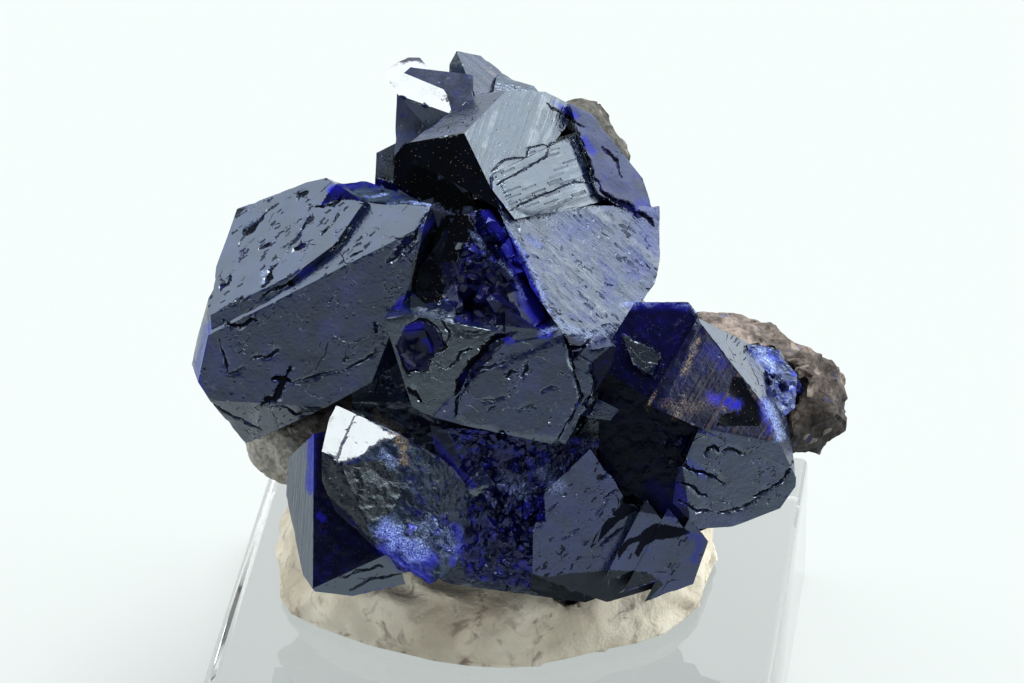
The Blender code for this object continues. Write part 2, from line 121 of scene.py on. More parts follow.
# What a facet finish has where its own entry says nothing else.
PLAIN_FINISH = {
    "roughness": 0.1, "bump": 0.02, "grain": 1.0, "pits": 0.5, "pit_size": 3.0, "glow": 0.0, "specks": 0.0,
    "gold": 0.0, "haze": 0.0, "metal": 0.0, "specular": 0.5, "tint": (0.73, 0.88, 1.0),
    "nick_fineness": 1.6, "nick_stretch": 3.2, "nick_wander": 1.8, "nick_shade": 0.8,
}

# The facets' finishes, in the order of their material slots. facet: its (bearing, lift); slant: how
# its lines lean in the view; both in degrees.
CRYSTAL_FINISHES = {
    "polished": dict(
        roughness=0.08, bump=0.035, facet=(3, 20), slant=35, nicks=0.58, nick_fineness=2.6, haze=0.7,
        hair=0.57),
    "notched": dict(
        roughness=0.08, bump=0.035, facet=(-36, 53), slant=38, nicks=0.47, nick_fineness=1.5,
        body=(0.008, 0.014, 0.06), haze=0.6, hair=0.58),
    "striated": dict(
        roughness=0.08, bump=0.028, facet=(63, 42), slant=72, lines=3.0, fineness=4.0, grain=0.7,
        streaks=(0.1, 0.115, 0.13)),
    "blade": dict(roughness=0.1, bump=0.03, facet=(-58, 13), slant=86, lines=1.5, fineness=4.0),
    "dark": dict(roughness=0.03, bump=0.004, body=(0.001, 0.001, 0.0015), gold=0.8, specular=0.35),
    "drusy": dict(
        roughness=0.13, bump=0.06, body=(0.004, 0.004, 0.06), glow=0.45, pit_size=5.0, specks=0.5,
        specular=0.24, metal=0.45),
    # Painted glow: deep electric blue where light would come through a thin edge.
    "window": dict(
        roughness=0.25, bump=0.04, body=(0.002, 0.002, 0.03), glow=0.6, specular=0.03, metal=0.9, specks=0.4,
        glow_color=(0.006, 0.005, 0.16)),
    # Near black and barely glossy; where it is given to recesses, it is painted shade.
    "deep": dict(
        roughness=0.16, bump=0.015, body=(0.002, 0.002, 0.016), glow=0.05, gold=0.3, specular=0.08, haze=0.12),
    "inky": dict(roughness=0.12, bump=0.03, body=(0.003, 0.003, 0.03), glow=0.06, specks=0.15, specular=0.12),
    "glassy": dict(roughness=0.02, bump=0.1, body=(0.001, 0.001, 0.004), grain=1.0, specular=0.22),
    "mirror": dict(
        roughness=0.04, bump=0.007, pit_size=2.0, facet=(143, 69), slant=50, lines=2.2, fineness=3.0,
        specular=0.32, tint=(0.94, 0.99, 1.0)),
    "slope": dict(
        roughness=0.14, bump=0.05, body=(0.008, 0.012, 0.06), glow=0.05, pit_size=4.0, specks=0.45,
        specular=0.35, haze=0.7, glow_color=(0.03, 0.03, 0.22), facet=(58, 46), slant=-40, lines=2.6,
        fineness=1.6, streaks=(0.07, 0.08, 0.11), nicks=0.56, nick_fineness=1.0, nick_stretch=4.0,
        nick_shade=0.6),
    "amber": dict(
        roughness=0.1, bump=0.025, facet=(27, 35), slant=59, lines=1.4, fineness=5.0,
        streaks=(0.045, 0.03, 0.026), body=(0.004, 0.003, 0.02), specular=0.24, gold=0.5, haze=0.6),
    "satin": dict(roughness=0.2, bump=0.04, body=(0.006, 0.009, 0.018), hair=0.56, specular=0.6),
    "tip": dict(
        roughness=0.12, bump=0.03, facet=(50, 50), slant=-38, lines=1.5, fineness=4.0, streaks=(0.13, 0.1, 0.1),
        body=(0.02, 0.02, 0.06), specular=0.35, haze=0.5),
    "haze": dict(roughness=0.3, bump=0.07, body=(0.012, 0.018, 0.07), glow=0.08, specular=0.17, haze=0.8),
    "velvet": dict(
        roughness=0.2, bump=0.07, body=(0.004, 0.009, 0.024), glow=0.08, pit_size=4.0, specks=0.15,
        specular=0.14, metal=0.2),
    "blades": dict(
        roughness=0.12, bump=0.05, body=(0.008, 0.01, 0.065), facet=(16, 12), slant=52, nicks=0.5,
        nick_fineness=1.5, specular=0.33, haze=0.9, hair=0.57),
    "crust": dict(
        roughness=0.2, bump=0.08, body=(0.012, 0.02, 0.14), glow=0.6, pit_size=5.0, specks=1.0, specular=0.4,
        glow_color=(0.02, 0.03, 0.4)),
    "murky": dict(
        roughness=0.35, bump=0.05, body=(0.06, 0.07, 0.13), specular=0.35, glow=0.3,
        glow_color=(0.015, 0.02, 0.3)),
    "terraced": dict(
        roughness=0.09, bump=0.03, facet=(63, 42), slant=21, lines=2.2, fineness=4.0, grain=0.7, nicks=0.3,
        nick_fineness=0.5, nick_stretch=13.0, nick_wander=0.8, nick_shade=0.38, streaks=(0.09, 0.1, 0.12)),
    "shade": dict(roughness=0.45, bump=0.06, body=(0.01, 0.013, 0.017), specular=0.12),
    # Near black and barely glossy: painted shade in the slots between the lower right crystal's blades.
    "slot": dict(roughness=0.5, bump=0.04, body=(0.001, 0.001, 0.006), specular=0.03),
}
LOOKS = tuple(CRYSTAL_FINISHES)

# Finishes whose relief needs a fine mesh.
ROUGH_LOOKS = ("drusy", "window", "inky", "glassy", "slope", "haze", "velvet", "crust")

# The facets of each finish, by a point in pixels that lies on them. The rest are polished, or drusy
# where they are small.
LOOK_POINTS = {
    "notched": ((250, 260), (390, 230)),
    "striated": ((560, 170), (520, 130)),
    "blade": ((300, 520),),
    "dark": ((440, 160),),
    "drusy": ((455, 250), (500, 500)),
    "window": ((515, 268),),
    "deep": ((650, 470), (335, 545)),
    "inky": ((650, 320),),
    "glassy": ((330, 480),),
    "mirror": ((355, 445), (415, 85)),
    "slope": ((600, 270),),
    "amber": ((700, 380),),
    "satin": ((484, 330), (427, 308)),
    "blades": ((570, 540), (660, 560), (635, 540)),
    "tip": ((478, 75),),
    "haze": ((630, 165),),
    "murky": ((425, 130), (400, 130)),
    "velvet": ((400, 490), (455, 510)),
    "crust": ((770, 360),),
}

# The upper end of the lower right crystal: its outline in pixels, how far it stands before the
# crystal's front facet and how deep it is set, in mm, and how much smaller its back is.
FACET_END = (
    (590, 449), (598, 460), (604, 470), (614, 478), (618, 488), (623, 496), (612, 512), (600, 530), (592, 546),
    (588, 562), (560, 560), (540, 556), (540, 540), (534, 530), (540, 505), (550, 487), (577, 462),
)
FACET_END_STEP = 0.03
FACET_END_DEPTH = 2.2
FACET_END_TAPER = 0.94

# Finishes that stop inside a facet: (finish, outline in pixels). The deep outlines over recesses and the slot
# outlines are painted shade.
LOOK_REGIONS = (
    ("dark", (
        (462, 132), (404, 144), (392, 159), (382, 178), (382, 192), (388, 204), (433, 205), (460, 217),
        (469, 207), (498, 209))),
    ("deep", ((406, 325), (419, 319), (434, 324), (446, 345), (432, 355), (428, 370), (406, 372), (396, 345))),
    ("deep", (
        (455, 393), (461, 375), (472, 360), (488, 344), (495, 333), (519, 331), (505, 342), (494, 350),
        (492, 358), (479, 368), (470, 377), (458, 393))),
    ("dark", (
        (436, 216), (470, 214), (475, 230), (462, 250), (454, 270), (444, 300), (425, 304), (410, 290),
        (412, 262), (424, 240))),
    ("glassy", (
        (322, 470), (346, 466), (372, 460), (394, 463), (402, 490), (392, 512), (372, 522), (352, 516),
        (334, 498))),
    ("window", (
        (320, 206), (326, 196), (335, 185), (352, 178), (381, 179), (400, 186), (424, 203), (388, 205),
        (350, 200), (336, 200))),
    ("deep", ((562, 336), (586, 335), (582, 352), (572, 362))),
    ("deep", ((588, 366), (612, 345), (624, 352), (640, 366), (658, 380), (650, 404), (620, 398), (596, 392))),
    ("dark", (
        (734, 376), (742, 378), (752, 396), (764, 414), (760, 426), (716, 426), (721, 414), (742, 410),
        (737, 398), (728, 392))),
    ("deep", (
        (686, 328), (697, 330), (688, 350), (679, 372), (670, 392), (672, 408), (662, 416), (646, 404),
        (664, 370))),
    ("deep", ((586, 452), (612, 440), (680, 446), (690, 520), (640, 512), (612, 500), (600, 470))),
    ("blades", FACET_END),
    ("slot", (
        (590, 549), (594, 538), (602, 526), (612, 514), (620, 506), (624, 497), (634, 494), (642, 508),
        (630, 514), (618, 522), (608, 532), (598, 542))),
    ("slot", (
        (618, 560), (618, 551), (623, 543), (630, 538), (638, 536), (646, 528), (656, 523), (684, 528),
        (691, 533), (674, 538), (656, 540), (645, 546), (638, 558), (634, 553), (640, 541), (630, 544))),
    ("deep", ((314, 500), (330, 496), (383, 552), (350, 571), (314, 586))),
    ("inky", (
        (345, 402), (372, 404), (410, 412), (440, 425), (452, 440), (470, 478), (478, 488), (462, 484),
        (440, 462), (424, 448), (396, 436), (362, 417))),
    ("window", ((521, 494), (544, 492), (546, 522), (522, 522))),
    ("window", (
        (476, 212), (486, 207), (497, 212), (508, 228), (519, 246), (530, 272), (541, 300), (548, 318),
        (540, 322), (528, 300), (512, 276), (498, 262), (486, 246), (476, 230))),
    ("shade", (
        (532, 574), (548, 577), (570, 573), (590, 572), (610, 570), (632, 571), (650, 574), (664, 584),
        (640, 608), (600, 610), (560, 604), (530, 590))),
    ("inky", ((440, 262), (505, 262), (540, 300), (560, 332), (470, 322), (446, 300))),
    ("satin", ((622, 333), (662, 357), (645, 375), (632, 362))),
    ("terraced", (
        (492, 172), (504, 160), (526, 157), (528, 148), (542, 145), (550, 143), (570, 137), (582, 162),
        (595, 181), (600, 205), (530, 217), (510, 208))),
)

# Plates and ledges: (height in mm, softness of the border in pixels, outline in pixels).
PLATES = (
    (0.06, 2.0, (
        (492, 171), (504, 160), (526, 157), (528, 148), (542, 145), (550, 143), (570, 137), (582, 162),
        (595, 181), (600, 205), (530, 217), (510, 208))),
    (0.05, 2.0, ((498, 182), (545, 157), (572, 150), (582, 168), (590, 196), (526, 214), (508, 200))),
    (0.05, 2.0, ((512, 209), (575, 181), (592, 186), (596, 198), (530, 216))),
    (0.05, 1.6, (
        (456, 416), (458, 398), (468, 382), (480, 370), (506, 361), (562, 338), (568, 350), (574, 372),
        (580, 400), (560, 440), (514, 436), (470, 427))),
    (-0.05, 1.6, ((443, 320), (452, 318), (486, 316), (500, 326), (480, 338), (458, 338))),
)

# Cracks and nicks, carved, and darkened in the materials with painted shade: (width in pixels, depth in mm,
# path in pixels).
CRACKS = (
    # The left crystal.
    (4.0, 0.14, ((289, 366), (283, 381), (274, 397), (263, 405))),
    (4.8, 0.16, ((274, 377), (284, 380), (292, 383))),
    (1.8, 0.05, ((292, 384), (300, 381), (317, 376), (330, 373), (341, 372))),
    (2.0, 0.05, ((347, 370), (359, 362), (366, 359), (377, 351))),
    (2.4, 0.08, ((253, 358), (266, 357), (279, 350))),
    (2.1, 0.06, ((219, 338), (222, 348), (225, 361), (229, 375))),
    (2.0, 0.05, ((229, 375), (238, 372), (244, 366))),
    (2.6, 0.1, ((222, 321), (230, 325), (240, 324), (257, 320))),
    (1.8, 0.06, ((256, 226), (266, 214), (279, 203))), (3.6, 0.1, ((241, 232), (250, 230), (258, 224))),
    (2.4, 0.07, ((295, 196), (308, 192))), (1.8, 0.06, ((287, 248), (298, 236), (313, 214))),
    (3.2, 0.08, ((296, 248), (307, 242))), (2.6, 0.09, ((219, 288), (226, 282), (233, 277))),
    (3.2, 0.1, ((262, 285), (272, 273), (278, 261))), (2.7, 0.08, ((272, 290), (282, 286), (294, 284))),
    (2.0, 0.06, ((257, 303), (266, 292), (275, 288))), (2.2, 0.06, ((352, 255), (364, 250))),
    (2.4, 0.08, ((316, 206), (333, 206), (341, 199))), (2.0, 0.05, ((260, 248), (272, 243))),
    (1.6, 0.04, ((224, 309), (236, 300), (244, 298))), (1.6, 0.04, ((330, 225), (338, 214))),
    (1.8, 0.05, ((306, 226), (314, 218))), (1.6, 0.04, ((238, 262), (244, 252))),
    (1.8, 0.05, ((322, 235), (328, 226))),
    (2.7, 0.1, ((386, 262), (394, 257), (402, 246), (415, 234), (427, 217))),
    (1.4, 0.04, ((400, 250), (412, 262))), (1.4, 0.04, ((406, 244), (420, 256))),
    (1.4, 0.04, ((396, 238), (411, 243))), (1.4, 0.04, ((404, 258), (420, 240))),
    (1.4, 0.04, ((410, 264), (424, 246))), (1.9, 0.08, ((374, 322), (377, 334))),
    (2.2, 0.06, ((330, 250), (342, 239), (352, 224))),
    # The middle crystal.
    (4.8, 0.14, ((456, 394), (459, 382), (468, 367), (478, 357), (488, 346), (499, 335), (508, 332))),
    (2.4, 0.08, ((506, 361), (494, 364), (480, 370), (468, 382), (458, 398), (456, 416))),
    (2.2, 0.07, ((447, 368), (459, 360), (461, 353), (473, 348))),
    (1.4, 0.04, ((430, 360), (440, 366), (449, 369))), (2.2, 0.06, ((505, 377), (511, 371), (517, 372))),
    (2.1, 0.07, ((521, 376), (527, 369), (529, 361))), (1.6, 0.05, ((482, 400), (494, 402), (502, 397))),
    (1.4, 0.04, ((488, 408), (496, 406))), (1.6, 0.04, ((540, 392), (552, 386), (560, 390))),
    (1.4, 0.03, ((520, 410), (534, 404))),
    (2.2, 0.07, ((566, 337), (572, 360), (575, 375), (581, 397), (575, 410), (558, 438))),
    (1.9, 0.07, ((588, 368), (594, 382), (590, 396), (583, 404), (588, 411), (581, 418), (569, 437))),
    (2.2, 0.07, ((597, 380), (595, 400), (590, 411), (575, 436))),
    (2.2, 0.07, ((572, 360), (580, 350), (590, 338))), (2.4, 0.1, ((498, 438), (500, 431), (506, 437))),
    (4.0, 0.14, ((408, 391), (416, 396), (420, 402))), (2.0, 0.06, ((441, 319), (449, 330), (447, 342))),
    (1.4, 0.04, ((460, 330), (474, 334), (482, 329))),
    (2.2, 0.06, (
        (406, 325), (419, 319), (434, 324), (447, 346), (433, 355), (428, 370), (406, 372), (396, 345))),
    # The crown.
    (2.4, 0.08, ((548, 105), (562, 113), (584, 126))),
    (3.2, 0.1, ((580, 134), (586, 152), (590, 166), (601, 190))),
    (6.0, 0.14, ((600, 190), (625, 206), (656, 223))), (2.0, 0.05, ((602, 146), (616, 160), (622, 178))),
    (0.9, 0.05, ((492, 171), (504, 160), (526, 157))),
    (0.9, 0.05, ((526, 157), (528, 148), (542, 145), (549, 149))),
    (1.1, 0.06, ((497, 184), (520, 171), (545, 158), (550, 144))),
    (0.9, 0.05, ((550, 144), (570, 138), (577, 148))), (1.2, 0.06, ((570, 138), (582, 162), (595, 181))),
    (1.0, 0.06, ((510, 210), (540, 196), (573, 183), (590, 184))), (1.0, 0.04, ((560, 126), (566, 142))),
    # The right crystal.
    (2.9, 0.1, ((680, 462), (690, 470), (704, 472), (722, 484))),
    (2.4, 0.09, ((676, 480), (692, 486), (706, 498))), (2.9, 0.09, ((704, 452), (714, 445), (722, 452))),
    (1.9, 0.06, ((722, 452), (732, 449), (744, 456))),
    (2.2, 0.08, ((752, 497), (766, 492), (782, 480), (794, 462))),
    (1.8, 0.05, ((716, 514), (740, 508), (760, 498))), (1.9, 0.07, ((676, 500), (696, 510), (712, 512))),
    (2.0, 0.05, ((692, 434), (684, 452), (686, 466))),
    # The lower right crystal.
    (1.6, 0.05, ((566, 471), (572, 464), (577, 459))), (1.6, 0.05, ((599, 479), (606, 474), (613, 471))),
    (1.8, 0.05, ((604, 498), (610, 494), (617, 490))), (1.4, 0.04, ((546, 512), (552, 508), (558, 503))),
    (1.4, 0.04, ((562, 541), (572, 535), (578, 528))), (1.6, 0.05, ((536, 529), (542, 521))),
    (1.6, 0.05, ((596, 514), (603, 507), (609, 500))), (1.6, 0.05, ((600, 546), (612, 536), (622, 528))),
    # The lower left crystals.
    (2.0, 0.05, ((340, 578), (360, 570), (384, 566))), (1.6, 0.04, ((350, 590), (372, 578), (402, 574))),
    (1.1, 0.02, ((354, 416), (344, 440), (334, 466))), (1.8, 0.05, ((210, 402), (236, 418), (262, 430))),
    (2.1, 0.07, ((276, 405), (296, 414), (318, 410))),
)

# Electric blue where light comes through a thin edge: (radius in pixels, strength, path in pixels).
GLOWS = (
    (3.5, 1.0, ((330, 190), (345, 186), (360, 185))), (3.0, 1.0, ((366, 184), (378, 186))),
    (3.0, 1.0, ((404, 298), (397, 306))), (4.5, 0.6, ((488, 214), (500, 232), (510, 250))),
    (9.0, 0.7, ((512, 252), (522, 274), (532, 300), (541, 318))), (2.6, 1.0, ((508, 340), (512, 341))),
    (4.0, 0.45, ((408, 330), (420, 326))), (2.4, 0.5, ((426, 340), (432, 350))),
    (4.0, 0.5, ((207, 326), (203, 346), (196, 372), (200, 396))), (2.4, 0.35, ((300, 274), (312, 268))),
    (4.0, 0.5, ((425, 228), (434, 222))), (4.0, 0.8, ((311, 434), (311, 460), (310, 490))),
    (2.6, 1.0, ((319, 516), (324, 519))), (3.0, 0.4, ((434, 440), (452, 462), (472, 486))),
    (7.0, 0.4, ((384, 548), (402, 562), (426, 578))), (9.0, 0.5, ((386, 532), (404, 546), (430, 560))),
    (5.0, 0.4, ((456, 528), (461, 544), (452, 560))), (4.0, 0.4, ((630, 306), (652, 303), (686, 306))),
    (4.0, 1.0, ((711, 398), (724, 400), (738, 405))), (6.0, 0.25, ((712, 350), (722, 364))),
    (8.0, 0.22, ((652, 486), (666, 500), (672, 514))), (5.0, 0.6, ((764, 404), (772, 430))),
    (4.0, 0.3, ((690, 464), (704, 474))), (4.0, 0.2, ((676, 484), (684, 502))),
    (3.0, 0.3, ((530, 300), (540, 312))), (3.0, 0.45, ((584, 138), (594, 152))),
    (14.0, 0.3, ((646, 214), (646, 240), (638, 266))), (9.0, 0.22, ((566, 232), (592, 226))),
    (5.0, 0.3, ((600, 262), (612, 280), (606, 296))), (3.0, 0.3, ((528, 238), (540, 246))),
    (4.0, 0.25, ((574, 316), (596, 320))), (3.0, 0.3, ((606, 302), (618, 298))),
    (4.0, 0.6, ((541, 334), (548, 334))), (4.0, 0.4, ((690, 536), (702, 540), (694, 560))),
    (3.0, 0.5, ((556, 104), (576, 116))), (3.0, 0.8, ((790, 352), (796, 368))),
)

# Pale blue powder, and a few painted white highlights: (radius in pixels, strength, path in pixels).
POWDER_AND_GLINTS = (
    (11.0, 0.7, ((388, 530), (402, 540), (418, 548))), (9.0, 0.5, ((424, 526), (440, 532), (448, 546))),
    (5.0, 0.5, ((384, 455), (392, 464))), (5.0, 0.8, ((768, 406), (774, 420), (780, 436))),
    (1.6, 0.25, ((528, 240), (540, 246))), (2.4, 0.7, ((540, 334), (556, 328))),
    (1.6, 0.5, ((620, 305), (640, 303), (668, 303), (691, 305), (700, 318))),
    (1.6, 0.45, ((504, 222), (518, 246), (532, 274), (546, 306), (556, 328))),
    (5.0, 0.3, ((556, 322), (584, 336), (606, 330))), (1.8, 0.5, ((500, 262), (516, 280), (524, 300))),
    (1.6, 0.5, ((470, 232), (484, 246))),
    (1.1, 0.9, ((388, 204), (412, 202), (434, 206), (454, 214), (470, 207))),
    # The first stroke below is a painted white highlight.
    (1.2, 1.0, ((366, 197), (388, 195))), (1.3, 0.9, ((264, 271), (263, 282))),
    (1.2, 0.8, ((440, 176), (441, 177))), (8.0, 0.45, ((505, 480), (525, 490))),
    # The last stroke below is a painted white highlight on the crust.
    (7.0, 0.35, ((540, 470), (556, 486))), (5.0, 1.0, ((760, 352), (772, 366))),
)

# Rust and gold grains, and one painted orange highlight: (radius in pixels, strength, path in pixels).
RUST_AND_GLINT = (
    (4.0, 0.9, ((376, 416), (388, 424), (398, 430))), (4.0, 0.7, ((392, 432), (402, 444), (404, 462))),
    (1.8, 1.0, ((699, 338), (691, 356), (684, 372))), (1.4, 0.8, ((656, 392), (647, 408))),
    # The second stroke below is a painted orange highlight.
    (1.3, 0.9, ((685, 396), (681, 408), (673, 420))), (1.6, 1.0, ((720, 406), (724, 408))),
    (5.0, 0.3, ((664, 404), (690, 410), (712, 400))),
)

# Relief that a finish has: ({look: how much of it}, layers of (kind, height, feature size, seed), in mm).
FINISH_RELIEF = (
    ({"notched": 1.0}, (("waves", 0.020, 0.6, 4),)),
    ({"drusy": 1.0, "crust": 0.8, "window": 0.5, "inky": 0.3, "deep": 0.15},
     (("flats", 0.09, 0.5, 5), ("flats", 0.07, 0.24, 6))),
    ({"slope": 1.0}, (("waves", 0.09, 1.6, 7), ("flats", 0.035, 0.5, 8), ("flats", 0.03, 0.22, 20))),
    ({"velvet": 1.0}, (("waves", 0.06, 0.7, 21), ("flats", 0.05, 0.3, 22))),
    ({"glassy": 1.0}, (("waves", 0.06, 0.24, 9),)),
    ({"haze": 1.0}, (("waves", 0.08, 0.8, 10),)),
    ({"amber": 1.0}, (("waves", 0.012, 0.5, 11),)),
)
ROCK_RELIEF = (
    ("waves", 0.30, 1.9, 30), ("waves", 0.20, 0.9, 31), ("flats", 0.12, 1.1, 32), ("flats", 0.03, 0.4, 33),
)
ROCK_RANGE = (-0.5, 0.35)
ROCK_PIT_DEPTH = 0.16
TACK_FOLD = (2.6, 2.6, 1.3)  # size of the tack's folds
TACK_FOOT = 0.5  # height above the block over which the folds begin
TACK_SINK = 0.12  # how far the folds lie inside the solid
BACK_CELL = 2.6  # mm between the cracks away from the front
BACK_CREVICE = 0.12  # mm, their width

# Optical constants. A crystal reflects more, and bluer, than its index alone would give.
AZURITE_IOR = 1.78
AZURITE_GLOSS = 1.35
ACRYLIC_IOR = 1.49
FLOOR_SHADE = 0.21

# The studio's patches of light and shade: bearing, lift, half width and half height in degrees, and
# how soft the border is.
SKY_LOBES = {
    "dark": (2, 42, 46, 21, 0.12),
    "dim": (0, 6, 62, 26, 0.5),
    "key": (105, 77, 17, 17, 0.08),
    "right": (118, 32, 42, 30, 0.6),
    "left": (-105, 48, 36, 30, 0.6),
}


# ---- Between the view's pixels and the object.


def camera_axes():
    """The camera's forward, right and up directions."""
    forward = np.array((
        -math.sin(VIEW_BEARING) * math.cos(VIEW_RISE),
        math.cos(VIEW_BEARING) * math.cos(VIEW_RISE),
        -math.sin(VIEW_RISE),
    ))
    right = np.array((math.cos(VIEW_BEARING), math.sin(VIEW_BEARING), 0.0))
    return forward, right, np.cross(right, forward)


def camera_place():
    """The camera's position in mm, so that the block's top centre is seen at its pixel."""
    forward, right, up = camera_axes()
    depth = VIEW_DISTANCE + VIEW_LEAD
    across = (BASE_TOP_PIXEL[0] - VIEW_WIDTH / 2) / FOCAL * depth
    above = (VIEW_HEIGHT / 2 - BASE_TOP_PIXEL[1]) / FOCAL * depth
    return np.array((0, 0, BASE_TOP)) - across * right - above * up - depth * forward


def unit_direction(bearing, lift):
    turn, rise = math.radians(bearing), math.radians(lift)
    return Vector((math.sin(turn) * math.cos(rise), -math.cos(turn) * math.cos(rise), math.sin(rise)))


def to_pixels(points):
    """Where points (mm) are seen, as (x, y) in pixels."""
    forward, right, up = camera_axes()
    rays = points - camera_place()
    depth = rays @ forward
    x = VIEW_WIDTH / 2 + FOCAL * (rays @ right) / depth
    y = VIEW_HEIGHT / 2 - FOCAL * (rays @ up) / depth
    return np.stack([x, y], axis=1)


def pixel_ray(x, y):
    """The camera's position and the direction in which it sees a pixel."""
    forward, right, up = camera_axes()
    ray = forward + (x - VIEW_WIDTH / 2) / FOCAL * right + (VIEW_HEIGHT / 2 - y) / FOCAL * up
    return Vector(camera_place()), Vector(ray).normalized()


def near_box(pixels, path, margin):
    """Which points lie within this margin of the box round a path."""
    low, high = path.min(axis=0) - margin, path.max(axis=0) + margin
    return np.flatnonzero(np.all((pixels > low) & (pixels < high), axis=1))


def segment_distance(spots, start, end):
    """Each point's distance to a straight piece of a path, and where along it, 0 to 1, it is nearest."""
    along = end - start
    share = np.clip((spots - start) @ along / (along @ along), 0, 1)
    return np.linalg.norm(spots - start - share[:, None] * along, axis=1), share


def path_distance(pixels, path):
    """Distance in pixels from each point to a path, and FAR where it is well off."""
    path = np.array(path, float)
    best = np.full(len(pixels), FAR)
    near = near_box(pixels, path, PATH_MARGIN)
    for start, end in zip(path[:-1], path[1:]):
        best[near] = np.minimum(best[near], segment_distance(pixels[near], start, end)[0])
    return best


def border_distance(pixels, outline):
    return path_distance(pixels, [*outline, outline[0]])


def is_inside(pixels, outline):
    outline = np.array(outline, float)
    inside = np.zeros(len(pixels), bool)
    x, y = pixels[:, 0], pixels[:, 1]
    for (x0, y0), (x1, y1) in zip(outline, np.roll(outline, -1, axis=0)):
        crosses = (y0 > y) != (y1 > y)
        rise = y1 - y0 if y1 != y0 else 1e-9
        inside ^= crosses & (x < (x1 - x0) * (y - y0) / rise + x0)
    return inside


# ---- Noise and cells, on whole arrays of points.


def scrambled(cells, seed):
    """An even random number between 0 and 1 for each whole-number cell."""
    x, y, z = (cells[..., i].astype(np.int64) for i in range(3))
    mixed = (x * 73856093) ^ (y * 19349663) ^ (z * 83492791) ^ (seed * 2654435761)
    mixed = (mixed ^ (mixed >> 13)) * 1274126177 & 0xFFFFFFFF
    mixed = (mixed ^ (mixed >> 16)) * 2246822519 & 0xFFFFFFFF
    return ((mixed ^ (mixed >> 15)) & 0xFFFFFF) / 0xFFFFFF


def eased(share):
    """0 to 1 with a soft start and end."""
    return share * share * (3 - 2 * share)


def smooth_noise(points, seed=0):
    """Smooth noise between -1 and 1 with a feature size of one unit."""
    low = np.floor(points)
    part = eased(points - low)
    total = np.zeros(len(points))
    for corner in np.ndindex(2, 2, 2):
        step = np.array(corner)
        weight = np.prod(np.where(step, part, 1 - part), axis=1)
        total += weight * scrambled(low + step, seed)
    return 2 * total - 1


def nearest_cells(points, seed=0):
    """Distance to the nearest and the next scattered point, and the nearest one's offset and its three
    random numbers."""
    low = np.floor(points)
    first = np.full(len(points), 9.0)
    second = np.full(len(points), 9.0)
    offset = np.zeros((len(points), 3))
    chosen = np.zeros((len(points), 3))
    for corner in np.ndindex(3, 3, 3):
        cell = low + np.array(corner) - 1
        jitter = np.stack([scrambled(cell, seed + k) for k in range(3)], axis=1)
        apart = points - (cell + jitter)
        distance = np.linalg.norm(apart, axis=1)
        nearer = distance < first
        second = np.where(nearer, first, np.minimum(second, distance))
        first = np.where(nearer, distance, first)
        offset[nearer] = apart[nearer]
        chosen[nearer] = cell[nearer]
    rolls = np.stack([scrambled(chosen, seed + 10 + k) for k in range(3)], axis=1)
    return first, second, offset, rolls


def facet_relief(points, seed):
    """Small tilted flats, as a crust of tiny crystals has, between about -1 and 1."""
    first, second, offset, rolls = nearest_cells(points, seed)
    tilt = rolls * 2 - 1
    return np.sum(offset * tilt, axis=1) + 0.5 * (second - first) + (rolls[:, 0] - 0.5) * 0.5


def sunken_pits(points, size, share, radius, seed):
    """Round pits, 1 at the middle of each and 0 outside; share of the cells hold one."""
    first, _, _, rolls = nearest_cells(points / size, seed)
    return np.where(rolls[:, 1] < share, eased(np.clip(1 - first / radius, 0, 1)), 0)


def layered(points, *layers):
    """The sum of layers of relief, each (kind, height, feature size, seed), in mm."""
    kinds = {"waves": smooth_noise, "flats": facet_relief}
    return sum(height * kinds[kind](points / size, seed) for kind, height, size, seed in layers)


def crack_field(points, pixels):
    """The signed distance to the nearest crack's middle line, its half width there, and the depth."""
    wander = layered(points, ("waves", 1.0, 0.25, 12), ("waves", 0.5, 0.1, 13))
    drift = np.stack([
        layered(points, ("waves", 2.6, 0.42, 51 + k), ("waves", 1.3, 0.17, 53 + k)) for k in range(2)
    ], axis=1)
    across = np.full(len(pixels), CRACK_FAR)
    half_width = np.full(len(pixels), -CRACK_FAR)
    depth = np.zeros(len(pixels))
    best = np.full(len(pixels), -CRACK_FAR)
    for width, deep, path in CRACKS:
        path = np.array(path, float)
        near = near_box(pixels, path, CRACK_MARGIN)
        if not len(near):
            continue
        spots = pixels[near] + drift[near] * min(width, WIDEST_DRIFT) * DRIFT_SHARE
        lengths = np.linalg.norm(np.diff(path, axis=0), axis=1)
        gone = np.concatenate([[0], np.cumsum(lengths)]) / lengths.sum()
        nearest = np.full(len(near), FAR)
        side, where = np.zeros((2, len(near)))
        for k, (start, end) in enumerate(zip(path[:-1], path[1:])):
            distance, share = segment_distance(spots, start, end)
            closer = distance < nearest
            turned = (end - start)[0] * (spots - start)[:, 1] - (end - start)[1] * (spots - start)[:, 0]
            nearest[closer] = distance[closer]
            side[closer] = np.where(turned < 0, -1, 1)[closer]
            where[closer] = (gone[k] + share * (gone[k + 1] - gone[k]))[closer]
        taper = np.sqrt(np.clip(4 * where * (1 - where), 0, 1))
        half = 0.5 * width * (CRACK_TIP + (1 - CRACK_TIP) * taper) * (1 + CRACK_WANDER * wander[near])
        margin = half - nearest
        better = (margin > best[near]) & (nearest < CRACK_REACH)
        chosen = near[better]
        best[chosen] = margin[better]
        across[chosen] = (nearest * side)[better]
        # The width falls off beside a crack, so that two lines side by side don't join.
        half_width[chosen] = (half - 2.0 * np.clip(nearest - half - 0.5, 0, None))[better]
        depth[chosen] = deep * np.clip(margin[better] + 0.6, 0, 1)
    return across, half_width, depth


# ---- Meshes: a merged copy of a solid, split finely, then carved.


